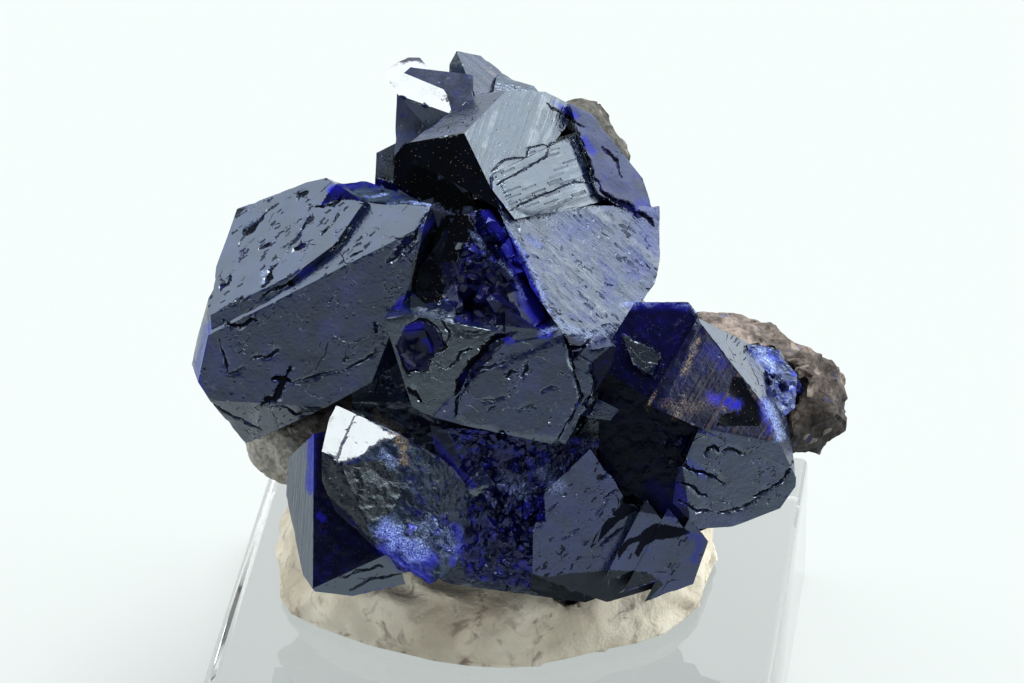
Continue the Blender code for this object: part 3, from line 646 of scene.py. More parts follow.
def merged_arrays(node):
    """Points (mm) and triangles of a CAD node, merged into one closed surface."""
    bm = bmesh.new()
    bm.from_mesh(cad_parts[node].data)
    bmesh.ops.remove_doubles(bm, verts=bm.verts, dist=MERGE_DISTANCE * MM)
    bmesh.ops.dissolve_limit(
        bm, angle_limit=math.radians(FLAT_ANGLE), verts=bm.verts, edges=bm.edges, use_dissolve_boundaries=False
    )
    bmesh.ops.triangulate(bm, faces=bm.faces, ngon_method="BEAUTY")
    points = np.array([vert.co[:] for vert in bm.verts]) / MM
    triangles = np.array([[vert.index for vert in face.verts] for face in bm.faces])
    bm.free()
    return points, triangles


def split_once(points, triangles, tags, is_long):
    """Splits every edge that is_long says, and the triangles on both sides of it."""
    ends = np.concatenate([triangles[:, [0, 1]], triangles[:, [1, 2]], triangles[:, [2, 0]]])
    ends = np.sort(ends, axis=1)
    key, index = np.unique(ends[:, 0] * len(points) + ends[:, 1], return_inverse=True)
    first, second = key // len(points), key % len(points)
    mark = is_long(points[first], points[second], index.reshape(3, -1), tags)
    middles = np.full(len(key), -1)
    middles[mark] = len(points) + np.arange(mark.sum())
    points = np.concatenate([points, (points[first[mark]] + points[second[mark]]) / 2])
    cut = middles[index.reshape(3, -1)].T
    whole = (cut < 0).all(axis=1)
    made, made_tags = [triangles[whole]], [tags[whole]]
    for turn in range(3):
        order = [turn, (turn + 1) % 3, (turn + 2) % 3]
        a, b, c = triangles[:, order].T
        ab, bc, ca = cut[:, order].T
        one = (ab >= 0) & (bc < 0) & (ca < 0)
        made += [np.stack([a, ab, c], 1)[one], np.stack([ab, b, c], 1)[one]]
        two = (ab >= 0) & (bc >= 0) & (ca < 0)
        made += [np.stack(corners, 1)[two] for corners in ((ab, b, bc), (a, ab, bc), (a, bc, c))]
        made_tags += [tags[one]] * 2 + [tags[two]] * 3
    a, b, c = triangles.T
    ab, bc, ca = cut.T
    three = (cut >= 0).all(axis=1)
    made += [np.stack(corners, 1)[three] for corners in ((a, ab, ca), (ab, b, bc), (ca, bc, c), (ab, bc, ca))]
    made_tags += [tags[three]] * 4
    return points, np.concatenate(made), np.concatenate(made_tags)


def split_often(rounds, points, triangles, tags, is_long):
    for _ in range(rounds):
        points, triangles, tags = split_once(points, triangles, tags, is_long)
    return points, triangles, tags


def unit_rows(rows, least=1e-12):
    return rows / np.maximum(np.linalg.norm(rows, axis=1, keepdims=True), least)


def triangle_crosses(points, triangles):
    """Each triangle's normal, as long as twice its area."""
    a, b, c = (points[triangles[:, k]] for k in range(3))
    return np.cross(b - a, c - a)


def triangle_normals(points, triangles):
    return unit_rows(triangle_crosses(points, triangles))


def vertex_share(triangles, values, count):
    """The mean over a point's triangles of a value that they carry."""
    total = np.zeros(count)
    hits = np.zeros(count)
    for k in range(3):
        np.add.at(total, triangles[:, k], values)
        np.add.at(hits, triangles[:, k], 1)
    return total / np.maximum(hits, 1)


def point_normals(points, triangles):
    """The normal at each point, and how well its triangles agree on it, up to 1."""
    flat = triangle_normals(points, triangles)
    normals = np.stack([vertex_share(triangles, flat[:, k], len(points)) for k in range(3)], axis=1)
    return unit_rows(normals, 1e-6), np.linalg.norm(normals, axis=1)


def ray_tree(points, triangles):
    return BVHTree.FromPolygons(points.tolist(), triangles.tolist())


def seen_triangles(points, triangles):
    """Which triangles the camera sees."""
    tree = ray_tree(points, triangles)
    centres = points[triangles].mean(axis=1)
    normals = triangle_normals(points, triangles)
    toward = unit_rows(camera_place() - centres)
    seen = np.zeros(len(triangles), bool)
    for k in np.flatnonzero(np.sum(normals * toward, axis=1) > LEAST_FACING):
        start = Vector(centres[k] + RAY_START * toward[k] + RAY_LIFT * normals[k])
        seen[k] = tree.ray_cast(start, Vector(toward[k]))[0] is None
    return seen


def facet_looks(points, triangles):
    """The look of each triangle: all that lie in one plane share the look of that facet."""
    crosses = triangle_crosses(points, triangles)
    normals = unit_rows(crosses)
    reach = np.sum(normals * points[triangles[:, 0]], axis=1)
    plane = np.round(np.concatenate([normals * NORMAL_STEPS, reach[:, None] * REACH_STEPS], axis=1)).astype(int)
    _, group = np.unique(plane, axis=0, return_inverse=True)
    group = group.reshape(-1)
    group_area = np.bincount(group, weights=np.linalg.norm(crosses, axis=1) / 2)
    looks = np.where(group_area[group] < SMALL_FACET, LOOKS.index("drusy"), LOOKS.index("polished"))
    tree = ray_tree(points, triangles)
    for look, spots in LOOK_POINTS.items():
        for spot in spots:
            hit = tree.ray_cast(*pixel_ray(*spot))[2]
            if hit is None:
                raise RuntimeError(f"no crystal is seen at {spot}, which should be {look}")
            same = (normals @ normals[hit] > SAME_COSINE) & (abs(reach - reach[hit]) < SAME_REACH)
            looks[same] = LOOKS.index(look)
    return looks


def with_facet_end(points, triangles):
    """The same arrays, and the upper end of the lower right crystal, as a closed piece in its facet's plane."""
    eye, ray = pixel_ray(*LOOK_POINTS["blades"][0])
    place, normal, _, _ = ray_tree(points, triangles).ray_cast(eye, ray)
    place = place + normal * FACET_END_STEP
    front = []
    for spot in (np.mean(FACET_END, axis=0), *FACET_END):
        ray = pixel_ray(*spot)[1]
        front.append(np.array(eye + ray * ((place - eye).dot(normal) / ray.dot(normal))))
    front = np.array(front)
    back = front + unit_rows(front - np.array(eye)) * FACET_END_DEPTH
    back = back[0] + (back - back[0]) * FACET_END_TAPER
    count = len(front)
    made = []
    for k in range(1, count):
        after = k % (count - 1) + 1
        made += [(0, after, k), (count, count + k, count + after),
                 (k, after, count + after), (k, count + after, count + k)]
    made = np.array(made)
    if triangle_normals(front, made[:1])[0] @ np.array(normal) < 0:
        made = made[:, ::-1]
    return np.concatenate([points, front, back]), np.concatenate([triangles, made + len(points)])


def fine_crystal_arrays(detail):
    """The crystals' points, triangles and tags, split finely; a tag is (look, whether it is seen)."""
    points, triangles = with_facet_end(*merged_arrays("azurite_cluster"))
    tags = np.stack([facet_looks(points, triangles), np.zeros(len(triangles), int)], axis=1)
    is_rough = np.array([look in ROUGH_LOOKS for look in LOOKS])

    def longer_than(rough_limit, smooth_limit, hidden_limit):
        def is_long(start, end, index, tags):
            goal = np.full(len(start), FAR)
            wanted = np.where(is_rough[tags[:, 0]], rough_limit, smooth_limit)
            wanted = np.where(tags[:, 1] > 0, wanted, hidden_limit)
            for side in index:
                np.minimum.at(goal, side, wanted)
            return np.linalg.norm(end - start, axis=1) > goal
        return is_long

    def near_strokes(most, limit, outlines):
        """Picks sides near the cracks up to this width, and near these outlines, that are over the limit."""
        def is_long(start, end, index, tags):
            middle = to_pixels((start + end) / 2)
            close = np.zeros(len(start), bool)
            for width, _, path in CRACKS:
                if width <= most:
                    close |= path_distance(middle, path) < width * 0.5 + CRACK_BORDER
            for outline in outlines:
                close |= border_distance(middle, outline) < BORDER_REACH
            visible = np.zeros(len(start), bool)
            for side in index:
                visible[side[tags[:, 1] > 0]] = True
            return close & visible & (np.linalg.norm(end - start, axis=1) > limit)
        return is_long

    points, triangles, tags = split_often(6, points, triangles, tags, longer_than(*[COARSE_DETAIL] * 3))
    tags[:, 1] = seen_triangles(points, triangles)
    outlines = [outline for _, outline in LOOK_REGIONS]
    for rounds, is_long in (
        (4, longer_than(detail, SMOOTH_DETAIL, HIDDEN_DETAIL)),
        (2, near_strokes(WIDE_CRACK, BORDER_DETAIL * detail, outlines)),
        (1, near_strokes(FINE_CRACK, FINE_CRACK_DETAIL * detail, [])),
    ):
        points, triangles, tags = split_often(rounds, points, triangles, tags, is_long)
    centres = to_pixels(points[triangles].mean(axis=1))
    for look, outline in LOOK_REGIONS:
        tags[is_inside(centres, outline) & (tags[:, 1] > 0), 0] = LOOKS.index(look)
    return points, triangles, tags


def carve_crystals(points, triangles, tags, relief):
    """Relief along the normals, and the masks for the colours."""
    count = len(points)
    normals, agreement = point_normals(points, triangles)
    on_edge = np.clip((EDGE_AGREEMENT - agreement) * EDGE_GAIN, 0, 1)
    share = {
        look: vertex_share(triangles, (tags[:, 0] == k).astype(float), count) for k, look in enumerate(LOOKS)
    }
    seen = vertex_share(triangles, tags[:, 1].astype(float), count)
    pixels = to_pixels(points)
    height = layered(points, ("waves", 0.008, 1.3, 1), ("waves", 0.006, 0.5, 2))
    pits = sunken_pits(points, size=0.62, share=0.25, radius=0.22, seed=3)
    height -= PIT_DEPTH * pits * (share["polished"] + share["notched"])
    for looks, layers in FINISH_RELIEF:
        height += sum(part * share[look] for look, part in looks.items()) * layered(points, *layers)

    across, half_width, depth = crack_field(points, pixels)
    hidden_face = seen <= 0
    across[hidden_face], half_width[hidden_face], depth[hidden_face] = CRACK_FAR, -CRACK_FAR, 0
    height -= depth
    for lift, soft, outline in PLATES:
        inward = np.where(is_inside(pixels, outline), border_distance(pixels, outline), 0)
        height += lift * np.clip(inward / soft, 0, 1) * (seen > 0)
    # Away from the front there are no drawn cracks, so some follow the borders of large cells; the materials
    # darken them with painted shade too.
    first, second, _, _ = nearest_cells(points / BACK_CELL, 14)
    crevice = np.clip(1 - (second - first) * BACK_CELL / BACK_CREVICE, 0, 1)
    crevice *= (smooth_noise(points / 1.8, 15) > 0.1) * (seen < 0.5)
    chips = np.clip(smooth_noise(points / 0.5, 16) * 2.0 - 0.7, 0, 1) * on_edge
    height = np.clip(height - CREVICE_DEPTH * crevice - CHIP_DEPTH * chips, *CARVED_RANGE)
    uneven = layered(points, ("waves", 1.0, 0.3, 17), ("waves", 0.6, 0.12, 18))

    def painted(strokes, ragged):
        mask = np.zeros(count)
        for radius, strength, path in strokes:
            reach = path_distance(pixels, path) + ragged * max(radius, 3.0) * uneven
            mask = np.maximum(mask, strength * np.clip(1.5 - reach / radius, 0, 1))
        return mask * (seen > 0)

    back_glow = 0.5 * (seen < 0.5) * np.clip(smooth_noise(points / 2.2, 19) * 3 - 1.4, 0, 1)
    masks = {
        "crack_across": across,
        "crack_half": half_width,
        "crevice": crevice,
        "glow": np.maximum(painted(GLOWS, 0.35), back_glow),
        "powder_and_glints": painted(POWDER_AND_GLINTS, 0.5),
        "rust_and_glint": painted(RUST_AND_GLINT, 0.5),
    }
    return points + normals * (height * relief)[:, None], masks


def even_arrays(node, side, rounds):
    """A CAD node's points, triangles and point normals, split until no side is longer than this."""
    points, triangles = merged_arrays(node)
    points, triangles, _ = split_often(
        rounds, points, triangles, np.zeros((len(triangles), 2), int),
        lambda start, end, index, tags: np.linalg.norm(end - start, axis=1) > side)
    return points, triangles, point_normals(points, triangles)[0]


def mesh_from_arrays(name, points, triangles, masks, faces_look=None):
    mesh = bpy.data.meshes.new(name)
    mesh.vertices.add(len(points))
    mesh.vertices.foreach_set("co", (points * MM).astype(np.float32).ravel())
    mesh.loops.add(len(triangles) * 3)
    mesh.loops.foreach_set("vertex_index", triangles.astype(np.int32).ravel())
    mesh.polygons.add(len(triangles))
    mesh.polygons.foreach_set("loop_start", np.arange(0, len(triangles) * 3, 3, dtype=np.int32))
    if faces_look is not None:
        mesh.polygons.foreach_set("material_index", faces_look.astype(np.int32))
    mesh.update(calc_edges=True)
    mesh.validate()
    for key, values in masks.items():
        attribute = mesh.attributes.new(key, "FLOAT", "POINT")
        attribute.data.foreach_set("value", values.astype(np.float32))
    obj = bpy.data.objects.new(name, mesh)
    bpy.context.scene.collection.objects.link(obj)
    return obj


def finish_piece(obj, node, slot, smooth_angle, *materials):
    """Smooths a piece and gives it its materials and its place: body and CAD node; the slot argument is not
    used.
    """
    bpy.ops.object.select_all(action="DESELECT")
    obj.select_set(True)
    bpy.context.view_layer.objects.active = obj
    bpy.ops.object.shade_smooth_by_angle(angle=math.radians(smooth_angle))
    for material in materials:
        obj.data.materials.append(material)
    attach(obj, "root")
    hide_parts(node)


# ---- Materials.

NUMBER, COLOR, VECTOR = "NodeSocketFloat", "NodeSocketColor", "NodeSocketVector"


class NodeBench:
    """Short ways to add and wire nodes in one tree."""

    def __init__(self, tree):
        self.tree = tree

    def add(self, kind, **settings):
        node = self.tree.nodes.new(kind)
        for key, value in settings.items():
            setattr(node, key, value)
        return node

    def plug(self, node, inputs):
        """Sets or links a node's inputs by name or number; a colour is three numbers."""
        for key, value in inputs.items():
            socket = node.inputs[key]
            if isinstance(value, bpy.types.NodeSocket):
                self.tree.links.new(value, socket)
            else:
                socket.default_value = (*value, 1.0) if socket.type == "RGBA" else value
        return node

    def math(self, operation, *values, clamp=False):
        node = self.add("ShaderNodeMath", operation=operation, use_clamp=clamp)
        return self.plug(node, dict(enumerate(values))).outputs[0]

    def times(self, *values, clamp=False):
        return self.math("MULTIPLY", *values, clamp=clamp)

    def add_part(self, value, factor, start, clamp=False):
        """The start plus factor times the value."""
        return self.math("MULTIPLY_ADD", value, factor, start, clamp=clamp)

    def most(self, *values):
        return self.math("MAXIMUM", *values)

    def spread(self, value, low, high, to_low=0.0, to_high=1.0):
        """The value spread smoothly from low..high to to_low..to_high."""
        node = self.add("ShaderNodeMapRange", interpolation_type="SMOOTHSTEP")
        limits = {"From Min": low, "From Max": high, "To Min": to_low, "To Max": to_high}
        return self.plug(node, {"Value": value, **limits}).outputs["Result"]

    def mix(self, share, first, second):
        """The first colour with this share of the second."""
        node = self.add("ShaderNodeMix", data_type="RGBA")
        return self.plug(node, {0: share, 6: first, 7: second}).outputs[2]

    def place(self):
        """Object coordinates in mm."""
        coordinates = self.add("ShaderNodeTexCoord").outputs["Object"]
        mapping = self.add("ShaderNodeMapping")
        return self.plug(mapping, {"Vector": coordinates, "Scale": [1.0 / MM] * 3}).outputs[0]

    def noise(self, vector, scale, detail=2.0, roughness=0.5, distortion=0.0, output="Fac"):
        node = self.add("ShaderNodeTexNoise")
        self.plug(node, {"Vector": vector, "Scale": scale, "Detail": detail,
                         "Roughness": roughness, "Distortion": distortion})
        return node.outputs[output]

    def cells(self, vector, scale, output="Distance", **settings):
        node = self.add("ShaderNodeTexVoronoi", **settings)
        return self.plug(node, {"Vector": vector, "Scale": scale}).outputs[output]

    def dot(self, vector, axis):
        node = self.add("ShaderNodeVectorMath", operation="DOT_PRODUCT")
        return self.plug(node, {0: vector, 1: axis}).outputs["Value"]

    def point(self, x, y):
        return self.plug(self.add("ShaderNodeCombineXYZ"), {"X": x, "Y": y}).outputs[0]

    def mask(self, name):
        return self.add("ShaderNodeAttribute", attribute_name=name).outputs["Fac"]

    def group(self, name, inputs):
        node = self.add("ShaderNodeGroup", node_tree=bpy.data.node_groups[name])
        return self.plug(node, inputs).outputs

    def bump(self, height, strength, distance):
        """The normal that a height (in these mm) gives."""
        node = self.add("ShaderNodeBump")
        return self.plug(node, {"Height": height, "Strength": strength, "Distance": distance * MM}).outputs[0]


def new_material(name):
    """A material, its bench and its shader."""
    material = bpy.data.materials.new(name)
    material.use_nodes = True
    return material, NodeBench(material.node_tree), material.node_tree.nodes["Principled BSDF"]


def new_group(name, inputs, outputs):
    """An empty node group with these sockets, {name: (type, default)} and {name: type}: its bench,
    what it is given, and the node that takes what it puts out."""
    tree = bpy.data.node_groups.new(name, "ShaderNodeTree")
    for key, (kind, default) in inputs.items():
        tree.interface.new_socket(key, in_out="INPUT", socket_type=kind).default_value = default
    for key, kind in outputs.items():
        tree.interface.new_socket(key, in_out="OUTPUT", socket_type=kind)
    bench = NodeBench(tree)
    return bench, bench.add("NodeGroupInput").outputs, bench.add("NodeGroupOutput")


def make_crack_group():
    """How much of a point lies in a crack, and its height for a Bump node."""
    bench, _, out = new_group("Crack lines", {}, {"Crack": NUMBER, "Height": NUMBER})
    across = bench.math("ABSOLUTE", bench.mask("crack_across"))
    ragged = bench.add_part(bench.noise(bench.place(), 9.0), 1.2, -0.6)
    margin = bench.math("ADD", bench.math("SUBTRACT", bench.mask("crack_half"), across), ragged)
    line = bench.times(bench.spread(margin, -0.30, 0.30),
                       bench.spread(bench.mask("crack_half"), 0.25, 1.2, 0.25, 1.0))
    crack = bench.most(line, bench.spread(bench.mask("crevice"), 0.2, 0.8))
    bench.plug(out, {"Crack": crack, "Height": bench.spread(margin, -1.3, 0.4, 0.0, -1.0)})


def make_crystal_tone_group():
    """The crystals' colour, roughness and metal from the painted masks."""
    numbers = {"Crack": 0.0, "Glow share": 0.0, "Roughness": 0.1, "Specks": 0.0, "Gold": 0.0, "Haze": 0.0}
    bench, given, out = new_group(
        "Crystal tone",
        {"Body": (COLOR, (0, 0, 0, 1)), "Glow": (COLOR, (0, 0, 1, 1)), "Powder": (COLOR, (1, 1, 1, 1)),
         **{key: (NUMBER, default) for key, default in numbers.items()}},
        {"Color": COLOR, "Roughness": NUMBER, "Metal": NUMBER},
    )
    place = bench.place()
    cloud = bench.noise(place, 0.9, 4.0, 0.6)
    fine = bench.noise(place, 12.0, 3.0, 0.6)
    grit = bench.add_part(bench.noise(place, 30.0, 2.0, 0.6), 0.5, bench.times(fine, 0.5))
    patches = bench.times(bench.spread(bench.noise(place, 2.4, 3.0, 0.6), 0.50, 0.68), given["Glow share"])
    glow = bench.most(bench.times(bench.mask("glow"), bench.spread(fine, 0.30, 0.55, 0.35, 1.0)), patches)
    haze = bench.spread(bench.noise(place, 0.6, 5.0, 0.65), 0.46, 0.68)
    body = bench.mix(bench.spread(cloud, 0.35, 0.65, 0.0, 0.6), given["Body"], (0.0015, 0.002, 0.006))
    body = bench.mix(bench.times(haze, given["Haze"]), body, (0.012, 0.013, 0.075))
    tone = bench.mix(glow, body, given["Glow"])
    # Cracks darken towards near black and deep blue: painted shade in the gaps, with the crystal's own blue.
    deep = bench.mix(bench.spread(cloud, 0.50, 0.64), (0.001, 0.001, 0.004), (0.003, 0.003, 0.05))
    tone = bench.mix(given["Crack"], tone, deep)
    scattered = bench.spread(bench.noise(place, 1.7), 0.48, 0.66)
    grains = bench.times(bench.spread(bench.cells(place, 9.0), 0.24, 0.10), scattered)
    # Powder, specks and a few painted white highlights.
    powder_and_glints = bench.times(bench.mask("powder_and_glints"), bench.spread(grit, 0.42, 0.60), clamp=True)
    powder_and_glints = bench.most(powder_and_glints, bench.times(grains, given["Specks"]))
    whiter = bench.mix(bench.spread(fine, 0.54, 0.74), given["Powder"], (0.55, 0.62, 0.8))
    tone = bench.mix(powder_and_glints, tone, whiter)
    dust = bench.spread(bench.cells(place, 6.5), 0.12, 0.05)
    # Rust, gold grains and a painted orange highlight.
    rust_and_glint = bench.times(bench.mask("rust_and_glint"), bench.spread(grit, 0.47, 0.57))
    rust_and_glint = bench.most(rust_and_glint, bench.times(dust, given["Gold"]))
    tone = bench.mix(rust_and_glint, tone, (0.26, 0.18, 0.10))
    # Glow and cracks turn the reflection to their own colour: a painted blue glow, and painted shade in the
    # cracks.
    lit, dusty = bench.most(glow, given["Crack"]), bench.most(powder_and_glints, rust_and_glint)
    rough = bench.add_part(lit, 0.4, bench.add_part(cloud, 0.10, given["Roughness"]))
    bench.plug(out, {
        "Color": tone,
        "Roughness": bench.add_part(dusty, 0.6, rough, clamp=True),
        "Metal": bench.times(bench.times(lit, 0.92), bench.math("SUBTRACT", 1.0, dusty, clamp=True)),
    })


def make_fine_pits_group():
    """Height of shallow pits and grain, for a Bump node."""
    bench, given, out = new_group(
        "Fine pits", {"Pits": (NUMBER, 1.0), "Size": (NUMBER, 3.0), "Grain": (NUMBER, 1.0)}, {"Height": NUMBER}
    )
    place = bench.place()
    pits = bench.spread(bench.cells(place, given["Size"]), 0.28, 0.14)
    pits = bench.times(pits, bench.spread(bench.noise(place, 0.8, 3.0), 0.50, 0.62))
    grain = bench.add_part(bench.noise(place, 6.0, 4.0, 0.6), 0.45, bench.noise(place, 1.4, 5.0, 0.6))
    height = bench.math("SUBTRACT", bench.times(grain, given["Grain"]), bench.times(pits, given["Pits"]))
    bench.plug(out, {"Height": height})


def make_nicks_group():
    """Slanting nicks that lie along one direction: their mask."""
    bench, given, out = new_group(
        "Slanting nicks",
        {"Along": (VECTOR, (1, 0, 0)), "Across": (VECTOR, (0, 1, 0)), "Share": (NUMBER, 0.5),
         "Fineness": (NUMBER, 1.6), "Stretch": (NUMBER, 3.2), "Wander": (NUMBER, 1.8)},
        {"Nick": NUMBER},
    )
    place = bench.place()
    along, across = (
        bench.times(bench.times(bench.dot(place, given[key]), stretch), given["Fineness"])
        for key, stretch in (("Along", 1.0), ("Across", given["Stretch"]))
    )
    wobble = bench.add_part(bench.noise(place, 3.5, 3.0, 0.6), given["Wander"], across)
    spot = bench.spread(bench.cells(bench.point(along, wobble), 1.0, distance="CHEBYCHEV"), 0.25, 0.20)
    chance = bench.spread(bench.noise(place, 0.7), given["Share"], bench.math("ADD", given["Share"], 0.04))
    bench.plug(out, {"Nick": bench.times(spot, chance)})


def make_hair_group():
    """Hairline cracks where the crystal has been knocked: their mask."""
    bench, given, out = new_group("Hair cracks", {"Share": (NUMBER, 0.5)}, {"Hair": NUMBER})
    place = bench.place()
    moved = bench.add("ShaderNodeVectorMath", operation="MULTIPLY_ADD")
    bench.plug(moved, {0: bench.noise(place, 1.6, 3.0, output="Color"), 1: [HAIR_BEND] * 3, 2: place})
    hair = 0.0
    for scale, width in ((0.5, 0.016), (1.1, 0.022)):
        edge = bench.cells(moved.outputs[0], scale, feature="DISTANCE_TO_EDGE")
        chance = bench.spread(
            bench.noise(place, scale, 4.0, 0.6), given["Share"], bench.math("ADD", given["Share"], 0.06))
        hair = bench.most(hair, bench.times(bench.spread(edge, width, width * 0.4), chance))
    bench.plug(out, {"Hair": hair})


def make_striae_group():
    """Height of fine growth lines that run across one direction, for a Bump node."""
    bench, given, out = new_group(
        "Growth lines", {"Across": (VECTOR, (1, 0, 0)), "Fineness": (NUMBER, 6.0)}, {"Height": NUMBER}
    )
    place = bench.place()
    across = bench.times(bench.dot(place, given["Across"]), given["Fineness"])
    line = bench.point(across, bench.times(bench.noise(place, 0.6), 1.5))
    bench.plug(out, {"Height": bench.noise(line, 1.0, 4.0, 0.65)})


def line_directions(finish):
    """In a finish's facet, the direction that is seen at its slant, and the one across it."""
    normal = np.array(unit_direction(*finish["facet"]))
    slant = math.radians(finish["slant"])
    forward, right, up = camera_axes()
    wanted = math.cos(slant) * right + math.sin(slant) * up
    along = wanted - forward * (wanted @ normal) / (forward @ normal)
    along /= np.linalg.norm(along)
    return tuple(along), tuple(np.cross(normal, along))


def crystal_material(look, sizes):
    """One facet finish of the crystals."""
    plain = {**PLAIN_FINISH, "body": sizes.body_color, "glow_color": sizes.glow_color}
    finish = {**plain, **CRYSTAL_FINISHES[look]}
    material, bench, shader = new_material("azurite_" + look)
    cracks = bench.group("Crack lines", {})
    crack = cracks["Crack"]
    height = bench.group("Fine pits", {
        "Pits": finish["pits"], "Size": finish["pit_size"], "Grain": finish["grain"]})["Height"]
    height = bench.math("ADD", height, bench.times(cracks["Height"], CRACK_DEPTH))
    # Nicks and hairline cracks dent the bump and darken the colour with painted shade.
    if "nicks" in finish:
        along, across = line_directions(finish)
        nick = bench.group("Slanting nicks", {
            "Along": along, "Across": across, "Share": finish["nicks"], "Fineness": finish["nick_fineness"],
            "Stretch": finish["nick_stretch"], "Wander": finish["nick_wander"]})["Nick"]
        crack = bench.most(crack, bench.times(nick, finish["nick_shade"]))
        height = bench.math("SUBTRACT", height, bench.times(nick, NICK_DEPTH))
    if "hair" in finish:
        hair = bench.group("Hair cracks", {"Share": finish["hair"]})["Hair"]
        crack = bench.most(crack, bench.times(hair, HAIR_SHADE))
        height = bench.math("SUBTRACT", height, bench.times(hair, HAIR_DEPTH))
    tone = bench.group("Crystal tone", {
        "Body": finish["body"], "Glow": finish["glow_color"], "Powder": sizes.powder_color, "Crack": crack,
        "Glow share": finish["glow"],
        **{key.capitalize(): finish[key] for key in ("roughness", "specks", "gold", "haze")}})
    color = tone["Color"]
    if "lines" in finish:
        across = line_directions(finish)[1]
        lines = bench.group("Growth lines", {"Across": across, "Fineness": finish["fineness"]})["Height"]
        height = bench.add_part(lines, finish["lines"], height)
        if "streaks" in finish:
            patch = bench.spread(bench.noise(bench.place(), 0.5, 3.0, 0.6), 0.42, 0.60)
            color = bench.mix(bench.times(bench.spread(lines, 0.50, 0.62), patch), color, finish["streaks"])
    bench.plug(shader, {
        "Base Color": color,
        "Roughness": tone["Roughness"],
        "Metallic": bench.most(tone["Metal"], finish["metal"]),
        "Normal": bench.bump(height, 1.0, finish["bump"]),
        "IOR": AZURITE_IOR,
        "Specular IOR Level": AZURITE_GLOSS * finish["specular"],
        "Specular Tint": finish["tint"],
    })
    return material


def rock_material(sizes):
    """Brown rock: near black at the low right, olive at the top and pale at the low left."""
    material, bench, shader = new_material("brown_rock")
    place = bench.place()
    broad = bench.noise(place, 0.35, 5.0, 0.62)
    grit = bench.noise(place, 4.0, 4.0, 0.6)
    at = bench.plug(bench.add("ShaderNodeSeparateXYZ"), {0: place}).outputs
    level = bench.add_part(broad, 4.0, at["Z"])
    pale = bench.times(bench.spread(at["X"], -3.5, -7.0), bench.spread(level, 18.5, 16.0))
    olive = bench.spread(at["Z"], 22.5, 25.0)
    dark_low_right = bench.times(bench.spread(at["X"], 7.0, 10.5), bench.spread(level, 20.2, 18.4))
    tone = bench.mix(bench.spread(broad, 0.38, 0.60), sizes.rock_dark, sizes.rock_light)
    for mask, share, color in (
        (dark_low_right, 0.93, (0.012, 0.011, 0.011)),
        (olive, 0.85, (0.034, 0.037, 0.030)),
        (pale, 0.85, (0.42, 0.40, 0.36)),
    ):
        tone = bench.mix(bench.times(mask, share), tone, color)
    tone = bench.mix(bench.spread(grit, 0.36, 0.60), bench.mix(0.45, tone, (0.01, 0.008, 0.007)), tone)
    pick = bench.plug(bench.add("ShaderNodeSeparateColor"), {0: bench.cells(place, 3.2, "Color")}).outputs
    tone = bench.mix(bench.spread(pick[0], 0.90, 0.97, 0.0, 0.4), tone, (0.34, 0.29, 0.25))
    tone = bench.mix(bench.spread(pick[1], 0.95, 0.99, 0.0, 0.6), tone, (0.02, 0.03, 0.16))
    bench.plug(shader, {
        "Base Color": tone,
        "Roughness": bench.spread(grit, 0.3, 0.7, 0.95, 0.6),
        "Normal": bench.bump(bench.add_part(bench.cells(place, 4.0), 0.4, grit), 0.8, 0.10),
    })
    return material


def tack_material(sizes):
    """Cream tack, darker and soiled where it has been handled."""
    material, bench, shader = new_material("cream_tack")
    place = bench.place()
    broad = bench.noise(place, 0.25, 3.0)
    dirt = bench.spread(bench.noise(place, 0.7, 5.0, 0.6, 1.5), 0.52, 0.72)
    tone = bench.mix(bench.spread(broad, 0.3, 0.7), sizes.tack_shade, sizes.tack_color)
    height = bench.add_part(bench.noise(place, 6.0, 3.0), 0.3, bench.noise(place, 0.9, 4.0, 0.5, 1.0))
    bench.plug(shader, {
        "Base Color": bench.mix(bench.times(dirt, 0.75), tone, (0.16, 0.09, 0.075)),
        "Roughness": bench.spread(broad, 0.3, 0.7, 0.62, 0.78),
        "Normal": bench.bump(height, 0.6, 0.3),
        "Subsurface Weight": 0.15,
        "Subsurface Radius": (0.002, 0.0014, 0.0009),
    })
    return material


def acrylic_material():
    """Clear acrylic with faint scuffs."""
    material, bench, shader = new_material("clear_acrylic")
    scuffs = bench.spread(bench.noise(bench.place(), 1.5, 4.0, 0.7), 0.55, 0.75, 0.0, 0.06)
    bench.plug(shader, {
        "Base Color": (0.97, 0.99, 0.985), "Roughness": scuffs, "IOR": ACRYLIC_IOR, "Transmission Weight": 1.0})
    return material


# ---- Sizes and colours that a user would change.

block_low, block_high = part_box("acrylic_base")


class SpecimenCrystals(bpy.types.PropertyGroup):
    detail: FloatProperty(
        name="Detail", description="Longest edge on the faces seen from the front, in mm", default=0.17,
        min=0.05, max=1.0)
    relief: FloatProperty(
        name="Relief", description="Strength of the carved relief", default=1.0, min=0.0, max=2.0)
    body_color: FloatVectorProperty(
        name="Body", description="Colour of the thick crystal", subtype="COLOR", default=(0.003, 0.007, 0.032))
    glow_color: FloatVectorProperty(
        name="Glow", description="Colour where light comes through", subtype="COLOR",
        default=(0.014, 0.012, 0.42))
    powder_color: FloatVectorProperty(
        name="Powder", description="Colour of the powdery azurite", subtype="COLOR", default=(0.26, 0.36, 0.72))


